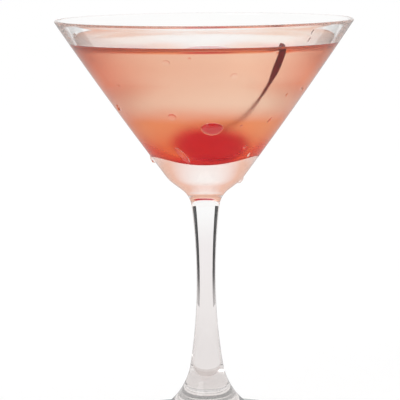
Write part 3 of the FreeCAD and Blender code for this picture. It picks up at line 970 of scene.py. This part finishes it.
@dataclass(frozen=True)
class Stalk:
    """The cherry's stalk, a smooth curve from the fruit's dimple to a knob above the drink.

    Attributes:
        root: Where it starts, in the fruit.
        lean: Unit vector along which it leaves the fruit.
        finish: Its bark.
        rise: How far the curve's second pole lies along that vector.
        bend: The middle pole.
        tip: The end of the knob.
        fall: From the tip to the last pole but one.
        radii: Share of the curve and radius there.
        smoothing: Places to each side over which the radius is averaged.
        ridges: Depth, number round the stalk, and twist of each set of ridges.
        square_to: A direction that the tube's first cross direction is square to.
        ends: How far the two end points stand out.
        sides: Places round the curve.
        rings: Places along it.
    """

    root: tuple[float, float, float]
    lean: tuple[float, float, float]
    finish: Finish
    rise: float = 9.0
    bend: tuple[float, float, float] = (8.4, -12.5, 114.9)
    tip: tuple[float, float, float] = (28.1, -38.5, 148.9)
    fall: tuple[float, float, float] = (-4.0, 9.8, -18.8)
    radii: tuple[tuple[float, float], ...] = (
        (0.0, 0.77), (0.07, 0.80), (0.17, 0.58), (0.40, 0.52), (0.69, 0.52), (0.72, 0.50),
        (0.745, 0.78), (0.765, 0.58), (0.80, 0.72), (0.83, 0.95), (0.86, 1.30), (0.885, 1.46),
        (0.965, 1.44), (0.99, 1.25), (1.0, 0.85))
    smoothing: int = 5
    ridges: tuple[tuple[float, int, int], ...] = ((0.05, 5, 9), (0.035, 3, 41))
    square_to: tuple[float, float, float] = (0.55, 0.8, 0.0)
    ends: tuple[float, float] = (0.15, 0.25)
    sides: int = 40
    rings: int = 260

    def path(self, share: Array) -> tuple[Array, Array]:
        """The sum of the poles, each times its share (n over i) (1-t)^(n-i) t^i, and its slope.

        Args:
            share: t, 0 at the root and 1 at the tip.

        Returns:
            Points, and unit vectors along the curve.
        """
        root, tip = np.array(self.root), np.array(self.tip)
        poles = np.stack((root, root + np.array(self.lean) * self.rise, np.array(self.bend),
                          tip + np.array(self.fall), tip))

        def blend(values: Array) -> Array:
            """The weighted sum of the values at every share."""
            top = len(values) - 1
            order = np.arange(top + 1)
            weights = np.array([math.comb(top, i) for i in order])
            weights = weights * (1 - share[:, None]) ** (top - order) * share[:, None] ** order
            return weights @ values

        slope = blend(np.diff(poles, axis=0))
        return blend(poles), slope / np.linalg.norm(slope, axis=1, keepdims=True)

    def surface(self) -> Surface:
        """A tube round the curve: point + radius (cos a U + sin a V), with ridges along it."""
        share = np.linspace(0, 1, self.rings)
        points, along = self.path(share)
        across = np.cross(along, np.array(self.square_to))
        across /= np.linalg.norm(across, axis=1, keepdims=True)
        third = np.cross(along, across)
        angle = np.linspace(0, 2 * np.pi, self.sides, endpoint=False)
        radius = np.interp(share, *np.array(self.radii).T)
        window = 2 * self.smoothing + 1
        radius = np.convolve(np.pad(radius, self.smoothing, mode="edge"),
                             np.ones(window) / window, "valid")
        ridges = np.ones((self.rings, self.sides))
        for depth, count, twist in self.ridges:
            ridges += depth * np.sin(count * angle[None] + twist * share[:, None])
        wide = (radius[:, None] * ridges)[..., None]
        rings = points[:, None] + wide * (np.cos(angle)[None, :, None] * across[:, None]
                                          + np.sin(angle)[None, :, None] * third[:, None])
        return Surface(points[0] - along[0] * self.ends[0], rings,
                       points[-1] + along[-1] * self.ends[1])

    def build(self) -> bpy.types.Object:
        """Makes and dresses the stalk."""
        piece = build_piece("cherry_stalk", [self.surface()])
        return dress(piece, [self.finish.material()], ("cherry_stem",))


@dataclass(frozen=True)
class Cherry:
    """A cherry wider than it is tall, with a dimple and a faint seam down one side.

    Attributes:
        bowl: The bowl that it lies in.
        finish: Its skin.
        stalk_finish: Its stalk's bark.
        radius: Half its width.
        side: Radius of the side's round.
        drop: From the widest circle down to the bottom.
        brim: Radius of the round at the dimple's brim.
        dimple: Radius of the dimple's hollow.
        dimple_rise: From the widest circle up to the dimple's bottom.
        place: Where the widest circle's centre stands over the resting plane.
        tilt: Degrees that the fruit leans over.
        bearing: Degrees towards which it leans.
        gap: Film of drink between the fruit and the bowl.
        root_depth: How deep under the dimple the stalk is rooted.
        seam_depth: Depth of the seam.
        seam_bearing: Where the seam runs, in radians round the fruit.
        seam_width: Its width, in radians.
        seam_low: Heights on the fruit between which it comes in.
        seam_high: Heights on the fruit between which it fades out.
        step: Step of the profile round the underside and the side.
        dimple_step: Step round the brim and the dimple.
        sides: Places round the axis.
    """

    bowl: Bowl
    finish: PatchyFlesh
    stalk_finish: Finish
    radius: float = 10.0
    side: float = 7.3
    drop: float = 8.0
    brim: float = 2.6
    dimple: float = 3.0
    dimple_rise: float = 5.2
    place: tuple[float, float] = (1.4, 0.4)
    tilt: float = 28.0
    bearing: float = -55.5
    gap: float = 0.08
    root_depth: float = 1.2
    seam_depth: float = 0.28
    seam_bearing: float = 0.6
    seam_width: float = 0.16
    seam_low: tuple[float, float] = (-6.5, 2.0)
    seam_high: tuple[float, float] = (5.5, 7.0)
    step: float = 0.3
    dimple_step: float = 0.25
    sides: int = 160

    @property
    def bottom_radius(self) -> float:
        """Radius of the underside, tangent to the round of the side."""
        across = self.radius - self.side
        return (across ** 2 + self.drop ** 2 - self.side ** 2) / (2 * (self.drop - self.side))

    @property
    def lean(self) -> Array:
        """Unit vector along the fruit's own axis."""
        flat, tilt = polar(self.bearing), polar(90 - self.tilt)
        return np.array([flat[0] * tilt[0], flat[1] * tilt[0], tilt[1]])

    @property
    def centre(self) -> Array:
        """Centre of the widest circle, with the underside a film above the bowl's floor."""
        low = self.lean * (self.bottom_radius - self.drop)
        across = math.hypot(self.place[0] + low[0], self.place[1] + low[1])
        reach = self.bowl.floor_radius - self.bottom_radius - self.gap
        top = self.bowl.floor + self.bowl.floor_radius
        return np.array([*self.place, top - math.sqrt(reach ** 2 - across ** 2) - low[2]])

    def profile(self) -> Array:
        """Underside, side, brim and dimple as tangent arcs, from the bottom to the dimple."""
        bottom = np.array([0.0, -self.drop])
        bottom_centre = bottom + np.array([0.0, self.bottom_radius])
        side_centre = np.array([self.radius - self.side, 0.0])
        low = np.array([0.0, self.dimple_rise])
        dimple_centre = low + np.array([0.0, self.dimple])
        brims = crossings(side_centre, self.side - self.brim, dimple_centre,
                          self.dimple + self.brim)
        brim_centre = max(brims, key=lambda point: point[0])
        side_low = bottom_centre + unit(side_centre - bottom_centre) * self.bottom_radius
        side_high = side_centre + unit(brim_centre - side_centre) * self.side
        brim_in = dimple_centre + unit(brim_centre - dimple_centre) * self.dimple
        return chain(arc(bottom_centre, bottom, side_low, self.step),
                     arc(side_centre, side_low, side_high, self.step),
                     arc(brim_centre, side_high, brim_in, self.dimple_step),
                     arc(dimple_centre, brim_in, low, self.dimple_step))

    def surface(self) -> Surface:
        """The turned profile less a seam of depth exp(-(a/w)^2) at one bearing, leant over."""
        turned = lathe(self.profile(), self.sides)
        angle = np.linspace(-np.pi, np.pi, self.sides, endpoint=False)
        rings = turned.rings.copy()
        groove = np.exp(-((angle - self.seam_bearing) / self.seam_width) ** 2)[None, :]
        height = rings[..., 2]
        groove = (groove * smoothstep(height, *self.seam_low)
                  * (1 - smoothstep(height, *self.seam_high)))
        radius = np.hypot(rings[..., 0], rings[..., 1])
        rings[..., :2] *= (1 - self.seam_depth * groove / np.maximum(radius, 1))[..., None]
        axis = self.lean
        sidelong = unit(np.cross(np.array([0.0, 1.0, 0.0]), axis))
        frame = np.column_stack((sidelong, np.cross(axis, sidelong), axis))
        centre = self.centre
        return Surface(frame @ turned.first + centre, rings @ frame.T + centre,
                       frame @ turned.last + centre)

    def stalk(self) -> Stalk:
        """The stalk, rooted under the bottom of the dimple."""
        root = self.centre + self.lean * (self.dimple_rise - self.root_depth)
        return Stalk(tuple(root), tuple(self.lean), self.stalk_finish)

    def build(self) -> list[bpy.types.Object]:
        """Makes and dresses the fruit and its stalk.

        Returns:
            Both pieces.
        """
        fruit = build_piece("cherry_fruit", [self.surface()])
        dress(fruit, [self.finish.material()], ("cherry",))
        return [fruit, self.stalk().build()]


# ------------------------------------------------------------------ the drink

@dataclass(frozen=True)
class Drink:
    """The drink, filling the bowl to its level and climbing the wall in a meniscus.

    Attributes:
        bowl: The bowl's inside.
        body: The drink itself.
        surface: Its free surface.
        stalk: The stalk that stands through it.
        level: Height of the free surface.
        climb: How far the meniscus climbs the wall.
        climb_reach: How far from the wall it falls to a third.
        into_wall: How far the drink's side lies inside the glass's wall.
        stalk_radius: Radius round the stalk within which the surface is raised in full.
        stalk_climb: How far it climbs the stalk.
        stalk_reach: How far from the stalk that falls to a third.
        stalk_shares: Shares of the stalk between which it comes through the surface.
        stalk_places: Places along the stalk that are tried.
        step: Step of the profile along the bowl's inside.
        top_margin: How close below the wall's top no step may come.
        near_wall: Distances from the wall between which the surface's steps are finest.
        rings: Steps in the finest part, and as many from there to the axis.
        sides: Places round the axis.
    """

    bowl: Bowl
    body: LayeredDrink
    surface: DrinkSurface
    stalk: Stalk
    level: float = 146.6
    climb: float = 2.0
    climb_reach: float = 2.2
    into_wall: float = 0.15
    stalk_radius: float = 1.2
    stalk_climb: float = 0.7
    stalk_reach: float = 1.3
    stalk_shares: tuple[float, float] = (0.7, 1.0)
    stalk_places: int = 200
    step: float = 0.8
    top_margin: float = 0.3
    near_wall: tuple[float, float] = (0.15, 12.0)
    rings: int = 60
    sides: int = 256

    def wall_profile(self) -> Array:
        """The bowl's inside up to the meniscus, moved out along its normals into the wall."""
        inside = self.bowl.profile(self.step)
        top = self.level + self.climb
        inside = np.vstack((inside[inside[:, 1] < top - self.top_margin],
                            [[float(self.bowl.radius_at(top)), top]]))
        slope = np.gradient(inside, axis=0)
        slope /= np.linalg.norm(slope, axis=1, keepdims=True)
        moved = inside + self.into_wall * np.column_stack((slope[:, 1], -slope[:, 0]))
        moved[0, 0] = 0.0
        return moved

    def top_profile(self, edge: float) -> Array:
        """The free surface, level + climb exp(-(edge - r) / reach), from the wall to the axis.

        Args:
            edge: Radius where the surface meets the wall.

        Returns:
            Radius and height of each point.
        """
        near = edge - np.linspace(*self.near_wall, self.rings)
        radius = np.concatenate((near, np.linspace(near[-1], 0, self.rings)[1:]))
        height = self.level + self.climb * np.exp(-(edge - radius) / self.climb_reach)
        return np.column_stack((radius, height))

    def build(self) -> bpy.types.Object:
        """Turns the drink, lifts its surface round the stalk, and dresses it.

        Returns:
            The drink.
        """
        wall = self.wall_profile()
        top = self.top_profile(float(wall[-1, 0]))
        profile = np.vstack((wall, top))
        slots = (np.arange(len(profile) - 1) >= len(wall) - 1).astype(np.int32)
        turned = lathe(profile, self.sides, slots)
        rings = turned.rings
        first = len(wall) - 1
        points, _ = self.stalk.path(np.linspace(*self.stalk_shares, self.stalk_places))
        through = points[np.argmin(np.abs(points[:, 2] - self.level))]
        away = np.hypot(rings[first:, :, 0] - through[0], rings[first:, :, 1] - through[1])
        rings[first:, :, 2] += self.stalk_climb * np.exp(
            -np.maximum(away - self.stalk_radius, 0) / self.stalk_reach)
        piece = build_piece("drink", [turned])
        return dress(piece, [self.body.material(), self.surface.material()],
                     ("drink_upper", "drink_lower"))


# ------------------------------------------------------------------ drops

class Face(Enum):
    """The face of the glass that a drop clings to."""

    OUTSIDE = "outside"
    INSIDE = "inside"


@dataclass(frozen=True)
class Drop:
    """One drop.

    Attributes:
        bearing: Bearing of its middle, in degrees.
        height: Height of its middle.
        wide: Width.
        tall: Length up the wall.
        thick: How far it stands out from the glass.
        lean: Degrees that it leans over.
        face: The face of the glass that it clings to.
    """

    bearing: float
    height: float
    wide: float
    tall: float
    thick: float
    lean: float = 0.0
    face: Face = Face.OUTSIDE


@dataclass(frozen=True)
class WaterDrops:
    """Drops of condensed water and splashed drink that cling to the glass.

    Attributes:
        vessel: The glass.
        finish: The water.
        drops: The drops.
        sunk: How far their backs lie inside the glass.
        back: Shares of a drop's size between which its back's rings lie.
        back_rings: Number of those rings.
        crown: How far up its cap the last ring lies.
        crown_rings: Number of rings of the cap.
        crowding: Power that crowds those rings towards the edge.
        roundness: Power p of the cap's 1 - share^p.
        fullness: Power of that again, lower for a fuller drop.
        sag: How much fuller the drop is at its bottom than at its middle.
        tuck: Power by which the cap's edge is tucked into the glass.
        sides: Places round each drop.
    """

    vessel: GlassVessel
    finish: Finish
    drops: tuple[Drop, ...] = field(default_factory=tuple)
    sunk: float = 0.06
    back: tuple[float, float] = (0.25, 0.97)
    back_rings: int = 5
    crown: float = 0.94
    crown_rings: int = 16
    crowding: float = 1.5
    roundness: int = 3
    fullness: float = 0.7
    sag: float = 0.35
    tuck: int = 8
    sides: int = 40

    def wall(self, drop: Drop, across: Array, along: Array) -> tuple[Array, Array]:
        """Points and outward normals of the glass round a drop.

        The wall at height z is (r(z) cos a, r(z) sin a, z), and its normal is square to dr/dz.

        Args:
            drop: The drop.
            across: Distances round the glass from the drop's middle.
            along: Distances up the wall from the drop's middle.

        Returns:
            Points and normals.
        """
        if drop.face is Face.OUTSIDE:
            table = self.vessel.outside()
        else:
            bowl = self.vessel.bowl
            table = bowl.profile(bowl.fine_step)[:, ::-1]
        here = float(np.interp(drop.height, table[:, 0], table[:, 1]))
        tilt = (np.interp(drop.height + 1, table[:, 0], table[:, 1])
                - np.interp(drop.height - 1, table[:, 0], table[:, 1])) / 2
        height = drop.height + along / math.hypot(1.0, float(tilt))
        radius = np.interp(height, table[:, 0], table[:, 1])
        angle = math.radians(drop.bearing) + across / here
        points = np.stack((radius * np.cos(angle), radius * np.sin(angle), height), axis=-1)
        away = np.array([1.0, -float(tilt)]) / math.hypot(1.0, float(tilt))
        normals = np.stack((away[0] * np.cos(angle), away[0] * np.sin(angle),
                            np.full_like(angle, away[1])), axis=-1)
        return points, normals if drop.face is Face.OUTSIDE else -normals

    def surface(self, drop: Drop) -> Surface:
        """A cap thick * (1 - p^3)^0.7 high over an oval of shares p, fuller at its bottom."""
        cap = 1 - np.linspace(0, self.crown, self.crown_rings) ** self.crowding
        share = np.concatenate((np.linspace(*self.back, self.back_rings), cap))
        lift = np.concatenate((np.full(self.back_rings, -self.sunk),
                               np.zeros(self.crown_rings)))
        angle = np.linspace(0, 2 * np.pi, self.sides, endpoint=False)[None]
        p = share[:, None]
        across = p * np.cos(angle) * drop.wide / 2
        along = p * np.sin(angle) * drop.tall / 2
        turn = math.radians(drop.lean)
        across, along = (across * math.cos(turn) - along * math.sin(turn),
                         across * math.sin(turn) + along * math.cos(turn))
        points, normals = self.wall(drop, across, along)
        full = (drop.thick * np.maximum(1 - p ** self.roundness, 0) ** self.fullness
                * (1 - self.sag * p * np.sin(angle)))
        high = np.where(lift[:, None] < 0, lift[:, None], full - self.sunk * p ** self.tuck)
        rings = points + normals * high[..., None]
        middle, out = self.wall(drop, np.zeros(1), np.zeros(1))
        return Surface(middle[0] - out[0] * self.sunk, rings, middle[0] + out[0] * drop.thick)

    def build(self) -> bpy.types.Object:
        """Makes all the drops as one piece and dresses it."""
        piece = build_piece("water_drops", [self.surface(drop) for drop in self.drops])
        return dress(piece, [self.finish.material()])


# ------------------------------------------------------------------ the studio

class Seen(Enum):
    """The kinds of ray that a bright background answers."""

    CAMERA = "Is Camera Ray"
    GLOSSY = "Is Glossy Ray"
    TRANSMISSION = "Is Transmission Ray"


@dataclass(frozen=True)
class Studio:
    """A white floor under a plain white sky, with dark flags that outline the stem.

    Attributes:
        ambient: Strength of the light on rough surfaces.
        seen_through: Brightness that glass lets through, by the sine of the elevation.
        mirrored: Brightness that gloss mirrors, by the sine of the elevation.
        floor_size: Half the floor's side.
        floor_paint: How much of the light that falls on the floor it gives back.
        floor_glow: What makes it up to white for the camera and through glass.
        floor_gloss: What is added to it in gloss.
        flag_bearings: Bearings between which each flag stands, in degrees from straight behind.
        flag_low: Bottom of the flags.
        flag_fade: Height below which they turn pale.
        flag_high: Top of the flags.
        flag_distance: Distance of the flags from the axis.
        flag_steps: Places along each flag's curve.
        flag_shades: Shade at their bottom, and above the fade.
        lamp_side: Side of the square soft lamp, in metres.
        lamp_power: Its power, in watts.
        lamp_place: Where it stands, in metres.
        lamp_turn: Degrees that it is tipped and turned.
    """

    ambient: float = 1.0
    seen_through: tuple[tuple[float, float], ...] = (
        (-1.0, 1.0), (0.52, 1.0), (0.65, 0.85), (0.75, 0.85), (0.88, 1.0))
    mirrored: tuple[tuple[float, float], ...] = (
        (-1.0, 1.0), (-0.1, 0.9), (0.5, 0.9), (0.9, 0.9))
    floor_size: float = 6000.0
    floor_paint: float = 0.32
    floor_glow: float = 0.68
    floor_gloss: float = 0.20
    flag_bearings: tuple[float, float] = (31.0, 60.0)
    flag_low: float = 12.0
    flag_fade: float = 44.0
    flag_high: float = 98.0
    flag_distance: float = 140.0
    flag_steps: int = 9
    flag_shades: tuple[float, float] = (0.85, 0.01)
    lamp_side: float = 0.7
    lamp_power: float = 2.0
    lamp_place: tuple[float, float, float] = (-0.7, -0.9, 1.1)
    lamp_turn: tuple[float, float] = (48.0, -38.0)

    def world(self) -> None:
        """White to the camera, plain on rough surfaces, darker overhead in glass and gloss."""
        world = bpy.data.worlds.new("Sky")
        bpy.context.scene.world = world
        world.use_nodes = True
        nodes = Nodes(world.node_tree)
        direction = nodes.add("ShaderNodeTexCoord").outputs["Generated"]
        up = nodes.add("ShaderNodeSeparateXYZ", {"Vector": direction}).outputs["Z"]
        share = nodes.scaled(up, -1.0, 1.0)
        through, gloss = (nodes.ramp(share, [((s + 1) / 2, (v, v, v)) for s, v in sky])
                          for sky in (self.seen_through, self.mirrored))
        path = nodes.add("ShaderNodeLightPath")
        lit = nodes.mixed(path.outputs[Seen.GLOSSY.value], (self.ambient,) * 3, gloss)
        lit = nodes.mixed(path.outputs[Seen.TRANSMISSION.value], lit, through)
        shown = nodes.mixed(path.outputs[Seen.CAMERA.value], lit, (1.0, 1.0, 1.0))
        light = nodes.add("ShaderNodeBackground", {"Color": shown, "Strength": 1.0})
        nodes.add("ShaderNodeOutputWorld", {"Surface": light.outputs["Background"]})

    def floor(self) -> bpy.types.Object:
        """The floor, a white sheet that keeps the object's shadow."""
        half = self.floor_size * MM
        corners = np.array([[-1, -1, 0], [1, -1, 0], [1, 1, 0], [-1, 1, 0]]) * half
        mesh = bpy.data.meshes.new("studio_floor")
        mesh.from_pydata(corners, [], [[0, 1, 2, 3]])
        floor = placed("studio_floor", mesh)
        material, nodes = new_material("white_sweep")
        paint = nodes.add("ShaderNodeBsdfDiffuse", {"Color": (*(self.floor_paint,) * 3, 1.0)})
        path = nodes.add("ShaderNodeLightPath")
        seen = nodes.computed("MAXIMUM", path.outputs[Seen.CAMERA.value],
                              path.outputs[Seen.TRANSMISSION.value])
        direct = nodes.computed("MULTIPLY", seen, self.floor_glow)
        gloss = nodes.computed("MULTIPLY", path.outputs[Seen.GLOSSY.value], self.floor_gloss)
        glow = nodes.add("ShaderNodeEmission", {
            "Color": (1.0, 1.0, 1.0, 1.0),
            "Strength": nodes.computed("MAXIMUM", direct, gloss)})
        mix = nodes.add("ShaderNodeAddShader", {0: paint.outputs["BSDF"],
                                                1: glow.outputs["Emission"]})
        nodes.add("ShaderNodeOutputMaterial", {"Surface": mix.outputs["Shader"]})
        mesh.materials.append(material)
        return floor

    def flags(self) -> bpy.types.Object:
        """Two dark flags behind the stem, left and right, which only light in glass meets."""
        inner, outer = self.flag_bearings
        starts = np.array([inner, -outer])
        steps = np.linspace(0, outer - inner, self.flag_steps)
        angles = np.radians(starts[:, None] + steps[None])
        flat = np.stack((np.sin(angles), np.cos(angles)), axis=-1) * self.flag_distance
        low = np.concatenate((flat, np.full((*flat.shape[:2], 1), self.flag_low)), axis=-1)
        high = low + np.array([0.0, 0.0, self.flag_high - self.flag_low])
        points = np.stack((low, high), axis=2).reshape(-1, 3)
        number = np.arange(len(points)).reshape(len(starts), len(steps), 2)
        quads = np.stack((number[:, :-1, 0], number[:, 1:, 0], number[:, 1:, 1],
                          number[:, :-1, 1]), axis=-1).reshape(-1, 4)
        mesh = bpy.data.meshes.new("studio_flags")
        mesh.from_pydata(points * MM, [], quads.tolist())
        flags = placed("studio_flags", mesh)
        material, nodes = new_material("black_cloth")
        shade = nodes.ramp(nodes.by_height(self.flag_low, self.flag_fade),
                           [(k, (v, v, v)) for k, v in enumerate(self.flag_shades)])
        cloth = nodes.add("ShaderNodeBsdfDiffuse", {"Color": shade})
        nodes.add("ShaderNodeOutputMaterial", {"Surface": cloth.outputs["BSDF"]})
        mesh.materials.append(material)
        flags.visible_camera = flags.visible_diffuse = flags.visible_shadow = False
        flags.visible_glossy = False
        return flags

    def lamp(self) -> None:
        """One broad soft lamp high at the front left."""
        data = bpy.data.lights.new("soft_box", "AREA")
        data.shape, data.energy = "RECTANGLE", self.lamp_power
        data.size = data.size_y = self.lamp_side
        lamp = placed("soft_box", data)
        tip, turn = self.lamp_turn
        lamp.location = self.lamp_place
        lamp.rotation_euler = Euler((math.radians(tip), 0.0, math.radians(turn)))

    def build(self) -> None:
        """Sets up the sky, the floor, the flags and the lamp."""
        self.world()
        self.floor()
        self.flags()
        self.lamp()


@dataclass(frozen=True)
class Camera:
    """A long lens at the level of a seated guest's eyes, turned a little down.

    Attributes:
        distance: From the glass's axis, in millimetres.
        height: Above the resting plane, in millimetres.
        aside: To the left of the axis, in millimetres.
        pitch: Degrees below the horizon.
        roll: Degrees that the picture leans anticlockwise.
        lens: Focal length.
        sensor: Width of the sensor.
        clips: Nearest and furthest distance shown, in metres.
    """

    distance: float = 900.0
    height: float = 198.0
    aside: float = 2.1
    pitch: float = 7.03
    roll: float = 0.5
    lens: float = 212.3
    sensor: float = 36.0
    clips: tuple[float, float] = (0.05, 50.0)

    def build(self) -> bpy.types.Object:
        """Makes the camera and gives it to the scene."""
        data = bpy.data.cameras.new("camera")
        data.lens, data.sensor_width = self.lens, self.sensor
        data.clip_start, data.clip_end = self.clips
        camera = placed("camera", data)
        turn = (Matrix.Rotation(math.radians(90 - self.pitch), 4, "X")
                @ Matrix.Rotation(math.radians(-self.roll), 4, "Z"))
        place = Matrix.Translation((-self.aside * MM, -self.distance * MM, self.height * MM))
        camera.matrix_world = place @ turn
        bpy.context.scene.camera = camera
        return camera


# ------------------------------------------------------------------ the whole

GLASS = ClearGlass("cup_glass", (0.985, 0.99, 0.985), roughness=0.0, ior=GLASS_IOR,
                   transmission=1.0, grain=90.0, stretch=0.5, relief=0.02)
WETTED = WettedGlass("wetted_glass", (1.0, 1.0, 1.0), roughness=1.0, ior=GLASS_IOR / DRINK_IOR,
                     transmission=1.0, grain=90.0)
PEACH = LayeredDrink("cloudy_drink", roughness=0.0, ior=1.0, transmission=1.0, grain=38.0,
                     stretch=2.5)
SKIN = DrinkSurface("drink_top", (0.97, 0.93, 0.90), roughness=0.09, ior=DRINK_IOR,
                    transmission=1.0, grain=60.0, relief=0.03)
CHERRY_SKIN = PatchyFlesh("cherry_skin", (1.0, 0.004, 0.075), roughness=0.25, grain=160.0,
                          relief=0.06, deep=(0.97, 0.004, 0.03), scatter=0.15)
STALK_BARK = PatchyFlesh("stalk_bark", (0.30, 0.012, 0.008), roughness=0.5, grain=500.0,
                         stretch=0.3, relief=0.1, deep=(0.14, 0.012, 0.01),
                         root=(118.0, 136.0), faded=(0.50, 0.10, 0.04))
WATER = Finish("drop_water", (1.0, 1.0, 1.0), roughness=0.0, ior=WATER_IOR,
               transmission=1.0, grain=200.0)

DROPS = (
    Drop(-85.1, 117.3, 8.4, 5.4, 1.7),
    Drop(-111.1, 121.9, 3.2, 2.8, 0.9),
    Drop(-157.5, 123.9, 2.6, 3.2, 0.7),
    Drop(-174.2, 103.2, 2.6, 3.4, 0.8),
    Drop(-23.8, 131.0, 2.4, 2.0, 0.6),
    Drop(-6.7, 94.8, 2.4, 3.2, 0.6),
    Drop(-52.5, 109.1, 1.4, 1.9, 0.25),
    Drop(-41.8, 105.8, 1.2, 2.0, 0.25),
    Drop(-112.0, 106.3, 2.6, 8.4, 0.2, 26.0),
    Drop(-96.4, 144.4, 1.2, 1.2, 0.5),
    Drop(-140.2, 133.2, 1.4, 1.3, 0.4),
    Drop(-76.2, 137.7, 2.6, 2.4, 0.25),
    Drop(-106.8, 142.8, 2.8, 2.6, 0.25),
    Drop(-150.9, 152.3, 2.0, 1.5, 0.5),
    Drop(-44.3, 153.1, 1.2, 2.6, 0.2),
    Drop(-43.9, 150.2, 1.4, 2.2, 0.2),
    Drop(105.7, 150.0, 3.4, 1.6, 0.4, 0.0, Face.INSIDE),
    Drop(-38.1, 129.1, 1.3, 1.7, 0.4),
    Drop(-64.0, 118.0, 1.0, 1.0, 0.4),
    Drop(-40.6, 119.5, 1.2, 2.8, 0.3, -25.0),
)


def main() -> None:
    """Builds the glass, the cherry, the drink and the drops in the studio."""
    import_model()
    scene = bpy.context.scene
    scene.view_settings.view_transform = "Standard"
    scene.cycles.max_bounces = scene.cycles.transmission_bounces = BOUNCES
    scene.cycles.glossy_bounces = BOUNCES

    Studio().build()
    Camera().build()
    bowl = Bowl()
    cherry = Cherry(bowl, CHERRY_SKIN, STALK_BARK)
    drink = Drink(bowl, PEACH, SKIN, cherry.stalk())
    vessel = GlassVessel(bowl, GLASS, WETTED, drink.level + drink.climb)
    vessel.build()
    cherry.build()
    drink.build()
    WaterDrops(vessel, WATER, DROPS).build()

    bpy.context.view_layer.update()


if __name__ == "__main__":
    logging.basicConfig(level=logging.INFO, format="%(message)s")
    main()
